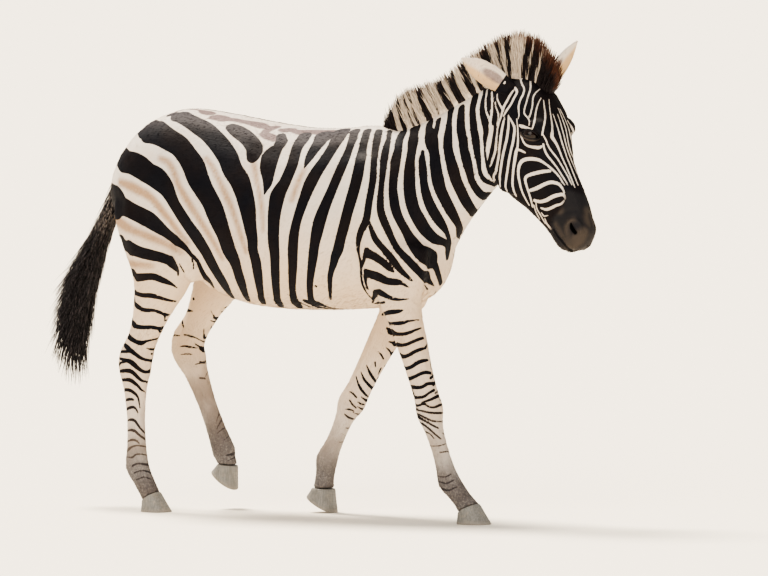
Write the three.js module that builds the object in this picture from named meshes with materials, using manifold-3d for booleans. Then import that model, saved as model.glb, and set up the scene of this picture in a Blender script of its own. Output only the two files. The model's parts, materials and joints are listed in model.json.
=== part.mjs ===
// A standing zebra in mid stride, life size, in millimetres, +Z up, heading along +X.
// While it is being built, x = 0 is under the withers, y = 0 the middle plane and z = 0 the floor.
import * as THREE from "three";
import { mergeVertices } from "three/addons/utils/BufferGeometryUtils.js";
import Module from "manifold-3d";

const wasm = await Module();
wasm.setup();

// ---- driving sizes ----
const gap = 0.3; // air left between neighbouring parts
const hipHeight = 1328; // top of the croup, above the floor
const withersHeight = 1279;
const backHeight = 1269; // lowest place of the back
const bellyHeight = 668; // underside of the belly
const chestHalf = 200; // half width of the chest behind the shoulder
const barrelHalf = 237; // half width of the barrel at its fullest
const hipHalf = 219; // half width over the hips
const eyeRadius = 19;
const eyeCentre = [621, 77, 1252];
const maneHeight = 144; // tallest standing hair, from its root in the crest
const soleLength = { fore: 118, hind: 108 };
const soleWidth = { fore: 96, hind: 88 };
const foreSide = 118; // each fore hoof from the middle plane
const hindSide = 122;

// ---- small helpers ----
const mix = (a, b, t) => a + (b - a) * t;

function blend(a, b, c, d, t) {
  return 0.5 * (2 * b + (c - a) * t + (2 * a - 5 * b + 4 * c - d) * t * t
    + (3 * b - a - 3 * c + d) * t * t * t);
}

// Rows of plain numbers, made smooth by adding rows between the given ones.
function smoothRows(rows, steps) {
  const out = [];
  for (let i = 0; i < rows.length - 1; i += 1) {
    const near = [rows[Math.max(i - 1, 0)], rows[i], rows[i + 1], rows[Math.min(i + 2, rows.length - 1)]];
    for (let k = 0; k < steps; k += 1) {
      out.push(rows[i].map((value, j) => blend(near[0][j], value, near[2][j], near[3][j], k / steps)));
    }
  }
  out.push(rows[rows.length - 1]);
  return out;
}

function power(value, exponent) {
  return Math.sign(value) * Math.abs(value) ** exponent;
}

// One closed ring. A section runs from its fore point (fx, fz) to its aft point (ax, az);
// half is its half width at `widest` (0 aft, 1 fore); square is 2 for an oval, more for a box.
function ring(row, sides, grow = 0) {
  const [fx, fz, ax, az, half, widest, squareFore, squareAft, y] = row;
  const length = Math.hypot(fx - ax, fz - az);
  const ux = (fx - ax) / length;
  const uz = (fz - az) / length;
  const mx = mix(ax, fx, widest);
  const mz = mix(az, fz, widest);
  const points = [];
  for (let i = 0; i < sides; i += 1) {
    const angle = (i / sides) * Math.PI * 2;
    const isFore = Math.cos(angle) >= 0;
    const square = isFore ? squareFore : squareAft;
    const reach = (isFore ? (1 - widest) : widest) * length + grow;
    const along = reach * power(Math.cos(angle), 2 / square);
    const across = (half + grow) * power(Math.sin(angle), 2 / square);
    points.push(new THREE.Vector3(mx + ux * along, y + across, mz + uz * along));
  }
  return points;
}

// A closed skin over rings of equal length, with a fan over each end.
function skinRings(rings) {
  const sides = rings[0].length;
  const points = rings.flat();
  const index = [];
  for (let r = 0; r < rings.length - 1; r += 1) {
    for (let i = 0; i < sides; i += 1) {
      const a = r * sides + i;
      const b = r * sides + ((i + 1) % sides);
      index.push(a, b, b + sides, a, b + sides, a + sides);
    }
  }
  const first = points.length;
  const last = (rings.length - 1) * sides;
  for (const end of [rings[0], rings[rings.length - 1]]) {
    const centre = new THREE.Vector3();
    end.forEach((p) => centre.addScaledVector(p, 1 / sides));
    points.push(centre);
  }
  for (let i = 0; i < sides; i += 1) {
    const next = (i + 1) % sides;
    index.push(first, next, i, first + 1, last + i, last + next);
  }
  const geometry = new THREE.BufferGeometry().setFromPoints(points);
  geometry.setIndex(index);
  return outward(geometry);
}

function signedVolume(geometry) {
  const p = geometry.getAttribute("position");
  const index = geometry.getIndex().array;
  const a = new THREE.Vector3();
  const b = new THREE.Vector3();
  const c = new THREE.Vector3();
  let total = 0;
  for (let i = 0; i < index.length; i += 3) {
    a.fromBufferAttribute(p, index[i]);
    b.fromBufferAttribute(p, index[i + 1]);
    c.fromBufferAttribute(p, index[i + 2]);
    total += a.dot(b.cross(c)) / 6;
  }
  return total;
}

function outward(geometry) {
  if (signedVolume(geometry) < 0) {
    const index = geometry.getIndex().array;
    for (let i = 0; i < index.length; i += 3) {
      [index[i + 1], index[i + 2]] = [index[i + 2], index[i + 1]];
    }
  }
  return geometry;
}

function loft(rows, sides, grow = 0) {
  return skinRings(rows.map((row) => ring(row, sides, grow)));
}

// ---- joining and cutting ----
function toManifold(geometry) {
  const bare = new THREE.BufferGeometry();
  bare.setAttribute("position", geometry.getAttribute("position").clone());
  bare.setIndex(geometry.getIndex());
  const welded = mergeVertices(bare, 1e-4);
  return new wasm.Manifold(new wasm.Mesh({
    numProp: 3,
    vertProperties: new Float32Array(welded.getAttribute("position").array),
    triVerts: new Uint32Array(welded.getIndex().array),
  }));
}

function fromManifold(solid) {
  const mesh = solid.getMesh();
  const geometry = new THREE.BufferGeometry();
  geometry.setAttribute("position", new THREE.Float32BufferAttribute(mesh.vertProperties, 3));
  geometry.setIndex(Array.from(mesh.triVerts));
  return geometry;
}

function join(solids) {
  return solids.reduce((sum, solid) => sum.add(solid));
}

// A large block whose face passes through (x, z), its matter on the side (nx, nz) points to.
// It spans y from y0 to y1, reaches `size` along the face each way and `deep` behind it.
function block(x, z, nx, nz, y0, y1, size, deep) {
  const length = Math.hypot(nx, nz);
  const geometry = new THREE.BoxGeometry(deep, y1 - y0, size * 2);
  geometry.translate(deep / 2, (y0 + y1) / 2, 0);
  geometry.rotateY(-Math.atan2(nz / length, nx / length));
  geometry.translate(x, 0, z);
  return toManifold(geometry);
}

// Cuts a body in two along a block's face and leaves the gap between the two.
function partAt(body, x, z, nx, nz, y0, y1, size, deep) {
  const length = Math.hypot(nx, nz);
  const back = [x - (nx / length) * gap, z - (nz / length) * gap];
  return {
    taken: body.intersect(block(x, z, nx, nz, y0, y1, size, deep)),
    left: body.subtract(block(back[0], back[1], nx, nz, y0, y1, size, deep + gap)),
  };
}

function ball(centre, radii, turn = 0, detail = 12) {
  const geometry = new THREE.SphereGeometry(1, detail, Math.round(detail * 0.66));
  geometry.scale(radii[0], radii[1], radii[2]);
  geometry.rotateY(turn);
  geometry.translate(centre[0], centre[1], centre[2]);
  return toManifold(geometry);
}

// ---- trunk ----
// Columns: x, height of the back, height of the belly, half width, widest, two squarenesses.
const trunkRows = smoothRows([
  [-1030, 1085, 1000, 50, 0.5, 2, 2],
  [-1012, 1145, 950, 112, 0.52, 2, 2],
  [-960, 1222, 905, 166, 0.52, 2.1, 2],
  [-880, 1290, 870, 202, 0.52, 2.2, 2],
  [-770, hipHeight, 806, hipHalf - 4, 0.52, 2.2, 2],
  [-650, 1321, 725, hipHalf, 0.5, 2.1, 2.1],
  [-520, 1303, 684, barrelHalf - 8, 0.46, 2, 2.2],
  [-390, 1283, 670, barrelHalf, 0.44, 2, 2.2],
  [-250, backHeight, bellyHeight, barrelHalf - 3, 0.44, 2, 2.2],
  [-120, 1272, 672, chestHalf + 18, 0.44, 1.95, 2.2],
  [0, withersHeight, 680, chestHalf, 0.42, 1.8, 2.2],
  [90, 1250, 688, 180, 0.42, 1.9, 2.2],
  [165, 1170, 714, 146, 0.42, 2, 2.2],
  [216, 1060, 770, 100, 0.42, 2, 2.1],
  [242, 960, 850, 50, 0.45, 2, 2],
], 2).map(([x, top, low, half, widest, squareTop, squareLow]) => (
  [x, top, x, low, half, widest, squareTop, squareLow, 0]));

// ---- neck and head: crest or forehead point, throat or jaw point, half width ----
const neckRows = smoothRows([
  [-40, 1250, 80, 770, 150, 0.4, 1.8, 2.1, 0],
  [60, 1264, 195, 790, 146, 0.38, 1.8, 2.1, 0],
  [130, 1282, 250, 866, 128, 0.38, 1.8, 2.1, 0],
  [200, 1310, 292, 926, 110, 0.38, 1.8, 2.1, 0],
  [280, 1350, 338, 978, 95, 0.4, 1.8, 2, 0],
  [360, 1391, 384, 1026, 84, 0.42, 1.8, 2, 0],
  [440, 1427, 428, 1072, 77, 0.45, 1.9, 2, 0],
  [510, 1446, 468, 1125, 74, 0.5, 2, 2, 0],
  [560, 1432, 500, 1190, 66, 0.5, 2, 2, 0],
], 2);

const headRows = smoothRows([
  [560, 1440, 490, 1385, 46, 0.5, 2, 2, 0],
  [608, 1424, 478, 1325, 68, 0.55, 2.2, 2, 0],
  [655, 1383, 468, 1260, 82, 0.6, 2.3, 2, 0],
  [690, 1328, 458, 1195, 90, 0.6, 2.3, 2, 0],
  [712, 1272, 452, 1135, 91, 0.58, 2.2, 2.1, 0],
  [722, 1215, 466, 1084, 82, 0.5, 2.1, 2.1, 0],
  [730, 1165, 508, 1046, 70, 0.48, 2.1, 2.1, 0],
  [747, 1120, 560, 1012, 60, 0.5, 2.2, 2.1, 0],
  [767, 1078, 600, 979, 54, 0.52, 2.3, 2.1, 0],
  [785, 1035, 634, 948, 52, 0.54, 2.4, 2.1, 0],
  [796, 993, 655, 922, 55, 0.56, 2.4, 2.1, 0],
  [807, 957, 668, 902, 56, 0.56, 2.3, 2.1, 0],
  [808, 928, 684, 886, 51, 0.55, 2.2, 2.1, 0],
  [797, 905, 708, 874, 40, 0.52, 2, 2, 0],
  [779, 889, 738, 873, 17, 0.5, 2, 2, 0],
], 1);

// ---- legs ----
// Each row: bone it lies on, place along it, reach before and behind its line, half width.
const foreShape = [
  ["arm", 0, 105, 110, 44], ["arm", 0.5, 98, 100, 56],
  ["forearm", 0, 84, 84, 56], ["forearm", 0.16, 66, 66, 50], ["forearm", 0.4, 56, 54, 43],
  ["forearm", 0.66, 47, 47, 35], ["forearm", 0.88, 46, 44, 33],
  ["cannon", 0, 50, 50, 36], ["cannon", 0.12, 43, 48, 33], ["cannon", 0.27, 31, 39, 26],
  ["cannon", 0.55, 27, 34, 22], ["cannon", 0.8, 29, 37, 24],
  ["pastern", 0, 36, 45, 30], ["pastern", 0.35, 32, 38, 29], ["pastern", 0.7, 31, 34, 31],
];
const hindShape = [
  ["thigh", 0, 150, 180, 70], ["thigh", 0.35, 160, 190, 92], ["thigh", 0.7, 150, 150, 84],
  ["gaskin", 0, 116, 118, 68], ["gaskin", 0.25, 86, 88, 54], ["gaskin", 0.5, 66, 66, 44],
  ["gaskin", 0.75, 55, 56, 35], ["gaskin", 0.92, 60, 67, 36],
  ["cannon", 0.04, 60, 69, 38], ["cannon", 0.14, 54, 62, 36], ["cannon", 0.27, 40, 48, 30],
  ["cannon", 0.55, 30, 37, 25], ["cannon", 0.82, 33, 39, 27],
  ["pastern", 0, 41, 46, 31], ["pastern", 0.4, 34, 39, 30], ["pastern", 0.75, 32, 34, 32],
];
const legSides = 10;

// Hoof in its own lengthwise plane: toe and heel on the sole, then the coronet above them.
function hoofPlan(kind) {
  const half = soleLength[kind] / 2;
  return {
    toe: [half, 0],
    heel: [-half, 0],
    coronetFore: [half - 46, 66],
    coronetAft: [-half + 6, 34],
    width: soleWidth[kind] / 2,
  };
}

// Puts a point of the hoof's own plane where the leg needs it.
function place(foot, point) {
  const c = Math.cos(foot.pitch);
  const s = Math.sin(foot.pitch);
  return [foot.at[0] + point[0] * c + point[1] * s, foot.at[1] - point[0] * s + point[1] * c];
}

function hoofRow(foot, fore, aft, half, widest = 0.52) {
  const [fx, fz] = place(foot, fore);
  const [ax, az] = place(foot, aft);
  return [fx, fz, ax, az, half, widest, 2.1, 2.3, foot.y];
}

function makeHoof(foot) {
  const plan = hoofPlan(foot.kind);
  const middle = (a, b, t) => [mix(a[0], b[0], t), mix(a[1], b[1], t)];
  const rows = [
    hoofRow(foot, plan.toe, plan.heel, plan.width),
    hoofRow(foot, middle(plan.toe, plan.coronetFore, 0.5), middle(plan.heel, plan.coronetAft, 0.5),
      plan.width - 3),
    hoofRow(foot, plan.coronetFore, plan.coronetAft, plan.width - 8),
  ];
  return toManifold(loft(rows, 20));
}

// Rows of one leg: along its bones, then the coronet, just clear of the horn.
function legRows(leg, shape) {
  const foot = leg.foot;
  const plan = hoofPlan(foot.kind);
  const coronet = hoofRow(foot, [plan.coronetFore[0] - 2, plan.coronetFore[1] + gap],
    [plan.coronetAft[0] + 2, plan.coronetAft[1] + gap], plan.width - 10);
  const ankle = [(coronet[0] + coronet[2]) / 2, (coronet[1] + coronet[3]) / 2];
  const bones = { ...leg.bones, pastern: [leg.bones.cannon[1], ankle] };
  const centres = shape.map(([bone, at]) => {
    const [a, b] = bones[bone];
    return [mix(a[0], b[0], at), mix(a[1], b[1], at)];
  });
  centres.push(ankle);
  const rows = shape.map(([, , fore, aft, half], i) => {
    const before = centres[Math.max(i - 1, 0)];
    const after = centres[i + 1];
    const length = Math.hypot(after[0] - before[0], after[1] - before[1]);
    const ux = -(after[1] - before[1]) / length;
    const uz = (after[0] - before[0]) / length;
    const [x, z] = centres[i];
    const t = i / shape.length;
    const y = mix(leg.topY, foot.y, Math.min(1, t * 1.6));
    return [x + ux * fore, z + uz * fore, x - ux * aft, z - uz * aft, half, 0.5, 2.1, 2.1, y];
  });
  rows.push(coronet);
  return rows;
}

// Everything below the coronet's plane, to keep the leg off its horn.
function belowCoronet(foot) {
  const plan = hoofPlan(foot.kind);
  const [fx, fz] = place(foot, [plan.coronetFore[0], plan.coronetFore[1] + gap * 1.3]);
  const [ax, az] = place(foot, [plan.coronetAft[0], plan.coronetAft[1] + gap * 1.3]);
  return block((fx + ax) / 2, (fz + az) / 2, fz - az, ax - fx, foot.y - 90, foot.y + 90, 110, 160);
}

function makeLeg(leg, shape) {
  return toManifold(loft(smoothRows(legRows(leg, shape), 2), legSides));
}

const legs = {
  right_fore: {
    topY: -112,
    bones: {
      arm: [[150, 900], [138, 722]], forearm: [[138, 722], [252, 366]], cannon: [[252, 366], [330, 138]],
    },
    foot: { kind: "fore", at: [423, 0], pitch: 0, y: -foreSide },
  },
  left_fore: {
    topY: 112,
    bones: {
      arm: [[60, 900], [10, 722]], forearm: [[10, 722], [-207, 366]], cannon: [[-207, 366], [-306, 172]],
    },
    foot: { kind: "fore", at: [-330, 25], pitch: 0.5, y: foreSide },
  },
  right_hind: {
    topY: -112,
    bones: {
      thigh: [[-800, 1090], [-802, 770]], gaskin: [[-802, 770], [-905, 500]],
      cannon: [[-905, 500], [-900, 150]],
    },
    foot: { kind: "hind", at: [-826, 0], pitch: 0, y: -hindSide },
  },
  left_hind: {
    topY: 112,
    bones: {
      thigh: [[-780, 1090], [-716, 792]], gaskin: [[-716, 792], [-868, 540]],
      cannon: [[-868, 540], [-722, 190]],
    },
    foot: { kind: "hind", at: [-722, 92], pitch: 0.62, y: hindSide },
  },
};

// ---- ears: a leaf rolled round its own length ----
const earLength = 186;
// Columns: place along the ear, half width, depth of the roll, thickness of the wall.
const earShape = smoothRows([
  [-0.2, 20, 24, 24], [0.08, 30, 28, 20], [0.28, 39, 28, 14], [0.5, 41, 22, 10], [0.7, 34, 15, 9],
  [0.87, 18, 8, 8], [1, 3, 2, 5],
], 2);
const earSides = 6;

function makeEar(root, along, open) {
  const axis = new THREE.Vector3(...along).normalize();
  const face = new THREE.Vector3(...open);
  face.addScaledVector(axis, -face.dot(axis)).normalize();
  const side = new THREE.Vector3().crossVectors(axis, face);
  const rings = earShape.map(([at, half, roll, wall]) => {
    const points = [];
    for (let pass = 0; pass < 2; pass += 1) {
      for (let i = 0; i < earSides; i += 1) {
        const t = pass === 0 ? i / (earSides - 1) : 1 - i / (earSides - 1);
        const angle = mix(-1.35, 1.35, t);
        const inset = pass === 0 ? 0 : wall;
        const across = Math.sin(angle) * (half - inset * 0.35);
        const back = -Math.cos(angle) * (roll - (pass === 0 ? 0 : wall)) + (pass === 0 ? -1 : 1);
        points.push(new THREE.Vector3(...root)
          .addScaledVector(axis, at * earLength)
          .addScaledVector(side, across)
          .addScaledVector(face, back));
      }
    }
    return points;
  });
  return toManifold(skinRings(rings));
}

// ---- mane ----
// Columns: foot in the crest (x, z), how far the hair leans forward, its share of the full
// height and its half thickness at the foot.
const maneRows = [
  [2, 1258, 14, 0.24, 8], [60, 1250, -2, 0.67, 17], [118, 1262, -13, 0.85, 21],
  [190, 1288, -20, 0.79, 24], [262, 1322, -22, 0.71, 26], [335, 1358, -25, 0.75, 27],
  [405, 1392, -20, 0.87, 27], [470, 1415, -10, 0.965, 26], [530, 1424, 5, 1, 25],
  [580, 1412, 22, 0.96, 25], [612, 1396, 44, 0.74, 25], [634, 1380, 46, 0.49, 21],
  [648, 1378, 26, 0.26, 12],
].map(([x, z, lean, share, half]) => (
  [x + lean, z + maneHeight * share, x, z, half, 0.3, 2, 2, 0]));

// ---- tail: top point, underside point, half width ----
const dockRows = smoothRows([
  [-930, 1225, -925, 1170, 24, 0.5, 2, 2, 0],
  [-995, 1196, -960, 1146, 30, 0.5, 2, 2, 4],
  [-1052, 1130, -1000, 1098, 31, 0.5, 2, 2, 10],
  [-1092, 1060, -1034, 1036, 31, 0.5, 2, 2, 16],
  [-1132, 992, -1074, 968, 29, 0.5, 2, 2, 22],
  [-1172, 925, -1116, 903, 27, 0.5, 2, 2, 28],
], 2);
const switchRows = smoothRows([
  [-1173, 922, -1117, 900, 30, 0.5, 2, 2, 28],
  [-1224, 850, -1146, 824, 40, 0.5, 2, 2, 34],
  [-1276, 774, -1172, 745, 46, 0.5, 2, 2, 42],
  [-1312, 694, -1196, 668, 46, 0.5, 2, 2, 50],
  [-1334, 615, -1220, 592, 41, 0.5, 2, 2, 56],
  [-1338, 552, -1240, 534, 28, 0.5, 2, 2, 60],
  [-1306, 506, -1262, 500, 8, 0.5, 2, 2, 62],
], 2);

// ---- the whole body, joined, then parted by thin cuts ----
function makeFlesh() {
  const rounding = [];
  for (const side of [-1, 1]) {
    rounding.push(ball([654, side * 67, 1275], [46, 32, 35], 0.3, 10)); // brow over the eye
    rounding.push(ball([540, side * 52, 1145], [80, 30, 92], 0.3, 10)); // cheek
    rounding.push(ball([side < 0 ? 150 : 92, side * 104, 850], [80, 66, 92], 0, 10)); // point of the shoulder
    rounding.push(ball([40, side * 126, 1010], [120, 62, 190], -0.35, 12)); // shoulder blade
    rounding.push(ball([-655, side * 150, 850], [72, 62, 100], -0.2, 10)); // stifle
  }
  return join([
    toManifold(loft(trunkRows, 22)), toManifold(loft(neckRows, 20)), toManifold(loft(headRows, 20)),
    makeLeg(legs.right_fore, foreShape), makeLeg(legs.left_fore, foreShape),
    makeLeg(legs.right_hind, hindShape), makeLeg(legs.left_hind, hindShape), ...rounding,
  ]);
}

function grownFlesh() {
  return join([toManifold(loft(trunkRows, 22, gap)), toManifold(loft(neckRows, 20, gap)),
    toManifold(loft(headRows, 20, gap))]);
}

const parts = new Map();
const flesh = makeFlesh();
const clear = grownFlesh();

let rest = flesh;
const legCuts = {
  right_fore: [160, 640, -260, -20], left_fore: [-40, 640, 20, 260],
  right_hind: [-850, 650, -260, -20], left_hind: [-800, 650, 20, 260],
};
for (const [name, [x, z, y0, y1]] of Object.entries(legCuts)) {
  const cut = partAt(rest, x, z, 0, -1, y0, y1, 320, 800);
  parts.set(`${name}_leg`, cut.taken.subtract(belowCoronet(legs[name].foot)));
  rest = cut.left;
}
const headCut = partAt(rest, 470, 1200, 1, -0.1, -300, 300, 500, 600);
const neckCut = partAt(headCut.left, 176, 1080, 0.9, 0.42, -300, 300, 600, 900);
parts.set("trunk", neckCut.left);
parts.set("neck", neckCut.taken);

let head = headCut.taken;
for (const [name, side] of [["right", -1], ["left", 1]]) {
  const centre = [eyeCentre[0], eyeCentre[1] * side, eyeCentre[2]];
  const round = [eyeRadius, eyeRadius, eyeRadius];
  parts.set(`${name}_eye`, ball(centre, round, 0, 12));
  head = head.subtract(ball(centre, round.map((r) => r + gap * 1.6), 0, 12));
}
parts.set("head", head);

const earPlaces = {
  right: { root: [531, -58, 1394], along: [-0.68, -0.46, 0.56], open: [0.42, -0.78, -0.4] },
  left: { root: [606, 54, 1397], along: [0.27, 0.52, 0.82], open: [0.95, 0, -0.25] },
};
for (const [name, { root, along, open }] of Object.entries(earPlaces)) {
  parts.set(`${name}_ear`, makeEar(root, along, open).subtract(clear));
}
parts.set("mane", toManifold(loft(maneRows, 8)).subtract(clear));
parts.set("tail_dock", toManifold(loft(dockRows, 10)).subtract(clear));
parts.set("tail_switch", toManifold(loft(switchRows, 10)));

const floor = block(0, 0, 0, -1, -500, 500, 2000, 200);
for (const [name, leg] of Object.entries(legs)) {
  parts.set(`${name}_hoof`, makeHoof(leg.foot).subtract(floor));
}

// ---- looks and the group ----
const looks = {
  coat: { color: 0x9b9590, roughness: 0.85 },
  hair: { color: 0x5b4a42, roughness: 0.9 },
  horn: { color: 0x8d8a80, roughness: 0.6 },
  eye: { color: 0x14100e, roughness: 0.12 },
};

function lookFor(name) {
  if (name.endsWith("_hoof")) return looks.horn;
  if (name.endsWith("_eye")) return looks.eye;
  if (name === "mane" || name === "tail_switch") return looks.hair;
  return looks.coat;
}

const group = new THREE.Group();
for (const [name, solid] of parts) {
  const look = lookFor(name);
  const material = new THREE.MeshStandardMaterial({ ...look, metalness: 0 });
  const mesh = new THREE.Mesh(fromManifold(solid), material);
  mesh.name = name;
  group.add(mesh);
}

// The model's origin is the middle of the floor it covers.
const box = new THREE.Box3().setFromObject(group);
const middle = box.getCenter(new THREE.Vector3());
for (const mesh of group.children) {
  mesh.geometry.translate(-middle.x, -middle.y, -box.min.z);
}

export default group;
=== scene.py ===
import json
import math
import bmesh
import bpy
import numpy as np
from mathutils import Matrix, Vector
from mathutils.bvhtree import BVHTree

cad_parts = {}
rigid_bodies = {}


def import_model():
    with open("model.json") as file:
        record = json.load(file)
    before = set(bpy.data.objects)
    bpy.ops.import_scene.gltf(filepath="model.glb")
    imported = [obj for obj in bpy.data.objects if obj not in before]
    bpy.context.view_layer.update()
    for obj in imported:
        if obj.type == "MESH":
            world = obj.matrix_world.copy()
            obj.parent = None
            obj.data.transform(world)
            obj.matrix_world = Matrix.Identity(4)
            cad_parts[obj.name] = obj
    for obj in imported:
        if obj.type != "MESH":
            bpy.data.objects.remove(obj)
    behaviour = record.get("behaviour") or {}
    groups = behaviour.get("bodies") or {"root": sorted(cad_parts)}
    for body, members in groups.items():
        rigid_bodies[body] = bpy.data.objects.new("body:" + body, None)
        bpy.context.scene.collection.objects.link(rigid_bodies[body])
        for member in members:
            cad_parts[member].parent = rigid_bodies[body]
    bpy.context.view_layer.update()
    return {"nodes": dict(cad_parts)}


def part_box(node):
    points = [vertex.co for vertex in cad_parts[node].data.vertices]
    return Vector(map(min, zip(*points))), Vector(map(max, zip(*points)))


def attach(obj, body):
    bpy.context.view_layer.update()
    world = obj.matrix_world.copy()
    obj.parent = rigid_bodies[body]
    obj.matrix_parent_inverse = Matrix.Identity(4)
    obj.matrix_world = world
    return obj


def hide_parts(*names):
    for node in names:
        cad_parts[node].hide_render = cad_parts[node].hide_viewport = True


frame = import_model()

scene = bpy.context.scene
nodes = frame["nodes"]
rng = np.random.default_rng(41)

# The animal is measured from under its withers: x forward, y to its left, z from the floor, in metres.
eyeLow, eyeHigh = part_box("right_eye")
withersX = (eyeLow.x + eyeHigh.x) / 2 - 0.621


def paint(code):  # sRGB hex to the linear colour that a socket wants
    parts = [int(code[i:i + 2], 16) / 255 for i in (1, 3, 5)]
    return [c / 12.92 if c <= 0.04045 else ((c + 0.055) / 1.055) ** 2.4 for c in parts] + [1.0]


def addNode(tree, kind, links=None, **settings):
    node = tree.nodes.new(kind)
    for key, value in settings.items():
        setattr(node, key, value)
    for socket, value in (links or {}).items():
        if isinstance(value, bpy.types.NodeSocket):
            tree.links.new(value, node.inputs[socket])
        else:
            isHex = isinstance(value, str) and value.startswith("#")
            node.inputs[socket].default_value = paint(value) if isHex else value
    return node


# The usual nodes: kind, settings, the sockets that take the values in order, and the output.
usualNodes = {
    "mix": ("ShaderNodeMix", {"data_type": "RGBA", "clamp_factor": True}, (0, 6, 7), 2),
    "ramp": ("ShaderNodeMapRange", {"interpolation_type": "SMOOTHSTEP"},
             ("Value", "From Min", "From Max"), "Result"),
    "noise": ("ShaderNodeTexNoise", {}, ("Vector", "Scale", "Detail", "Roughness"), "Fac"),
    "mark": ("ShaderNodeAttribute", {}, (), "Fac"),
    "place": ("ShaderNodeTexCoord", {}, (), "Object"),
    "add": ("ShaderNodeMath", {"operation": "ADD"}, (0, 1), 0),
    "subtract": ("ShaderNodeMath", {"operation": "SUBTRACT"}, (0, 1), 0),
    "times": ("ShaderNodeMath", {"operation": "MULTIPLY"}, (0, 1), 0),
    "sine": ("ShaderNodeMath", {"operation": "SINE"}, (0,), 0),
    "bump": ("ShaderNodeBump", {}, ("Height", "Strength", "Distance"), 0),
}


def put(tree, name, *values, **settings):  # one of the usual nodes; gives its output
    kind, fixed, sockets, output = usualNodes[name]
    return addNode(tree, kind, dict(zip(sockets, values)), **fixed, **settings).outputs[output]


def newMaterial(name, constants):  # its tree, with what is the same all over set on the shader
    material = bpy.data.materials.new(name)
    material.use_nodes = True
    shader = material.node_tree.nodes["Principled BSDF"]
    for socket, value in constants.items():
        shader.inputs[socket].default_value = value
    return material, material.node_tree, shader


def strands(tree, scale, detail=3.0, roughness=0.5, turn=(0, 0, 0)):  # noise drawn out along a way
    drawn = addNode(tree, "ShaderNodeMapping", {"Vector": put(tree, "place"), "Rotation": turn,
                                                "Scale": scale}).outputs[0]
    return put(tree, "noise", drawn, 1.0, detail, roughness)


def smoothStep(low, high, value):
    t = np.clip((value - low) / (high - low), 0, 1)
    return t * t * (3 - 2 * t)


def unit(vectors):
    return vectors / np.maximum(np.linalg.norm(vectors, axis=-1, keepdims=True), 1e-9)


shot = {"azimuth": 34.0, "elevation": 2.5, "roll": -0.4, "distance": 30.0, "lens": 433.2,
        "sensor": 36, "aim": (0.0, 0.0, 0.747), "width": 768, "height": 576}


def cameraAxes():
    azimuth, elevation, roll = (math.radians(shot[k]) for k in ("azimuth", "elevation", "roll"))
    back = Vector((math.sin(azimuth) * math.cos(elevation), -math.cos(azimuth) * math.cos(elevation),
                   math.sin(elevation)))
    level = Vector((math.cos(azimuth), math.sin(azimuth), 0))
    rise = back.cross(level)
    right = level * math.cos(roll) + rise * math.sin(roll)
    up = rise * math.cos(roll) - level * math.sin(roll)
    return right, up, back


def makeCamera():
    right, up, back = cameraAxes()
    data = bpy.data.cameras.new("camera")
    data.sensor_width = shot["sensor"]
    data.lens = shot["lens"]
    data.clip_end = 900
    camera = bpy.data.objects.new("camera", data)
    scene.collection.objects.link(camera)
    place = Vector(shot["aim"]) + Vector((withersX, 0, 0)) + back * shot["distance"]
    camera.matrix_world = Matrix.Translation(place) @ Matrix((right, up, back)).transposed().to_4x4()
    scene.camera = camera


# The lights: where each comes from, its power, how wide it is in degrees, and its tint.
studio = {"floor": "#f3ede2", "floorSize": 900, "sky": "#f3efe8", "skyPower": 0.6,
          "lights": {"high light": ((-1.5, 0.6, 3.0), 5.8, 20, "#fff4e4"),
                     "front light": ((0.9, -2.6, 1.5), 1.35, 50, "#fdf6ee")}}


def sunLight(name, comesFrom, power, spread, tint):
    data = bpy.data.lights.new(name, "SUN")
    data.angle = math.radians(spread)
    data.energy = power
    data.color = paint(tint)[:3]
    light = bpy.data.objects.new(name, data)
    scene.collection.objects.link(light)
    light.rotation_euler = (-Vector(comesFrom)).to_track_quat("-Z", "Y").to_euler()


def makeStudio():
    bpy.ops.mesh.primitive_plane_add(size=studio["floorSize"], location=(0, 0, 0))
    floor = bpy.context.object
    floor.name = "floor"
    material = newMaterial("pale studio floor", {"Base Color": paint(studio["floor"]),
                                                 "Roughness": 0.9})[0]
    floor.data.materials.append(material)
    scene.view_settings.look = "AgX - High Contrast"
    world = scene.world or bpy.data.worlds.new("world")
    scene.world = world
    world.use_nodes = True
    sky = world.node_tree.nodes["Background"]
    sky.inputs["Color"].default_value = paint(studio["sky"])
    sky.inputs["Strength"].default_value = studio["skyPower"]
    for name, plan in studio["lights"].items():
        sunLight(name, *plan)


def readMesh(mesh):
    points = np.empty(len(mesh.vertices) * 3)
    mesh.vertices.foreach_get("co", points)
    mesh.calc_loop_triangles()
    faces = np.empty(len(mesh.loop_triangles) * 3, dtype=np.int32)
    mesh.loop_triangles.foreach_get("vertices", faces)
    return points.reshape(-1, 3), faces.reshape(-1, 3)


def buildMesh(name, points, faces):
    mesh = bpy.data.meshes.new(name)
    mesh.vertices.add(len(points))
    mesh.vertices.foreach_set("co", np.ascontiguousarray(points, dtype=np.float32).ravel())
    size = faces.shape[1]
    mesh.loops.add(len(faces) * size)
    mesh.loops.foreach_set("vertex_index", np.ascontiguousarray(faces, dtype=np.int32).ravel())
    mesh.polygons.add(len(faces))
    mesh.polygons.foreach_set("loop_start", np.arange(0, len(faces) * size, size, dtype=np.int32))
    mesh.update(calc_edges=True)
    mesh.shade_smooth()
    return mesh


def addObject(name, mesh):
    thing = bpy.data.objects.new(name, mesh)
    scene.collection.objects.link(thing)
    return thing


def evaluated(thing):
    depsgraph = bpy.context.evaluated_depsgraph_get()
    return bpy.data.meshes.new_from_object(thing.evaluated_get(depsgraph))


def pointNormals(points, faces):
    a, b, c = (points[faces[:, k]] for k in range(3))
    across = np.cross(b - a, c - a)
    total = np.zeros_like(points)
    for axis in range(3):
        for corner in range(3):
            total[:, axis] += np.bincount(faces[:, corner], across[:, axis], len(points))
    return unit(total)


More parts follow.
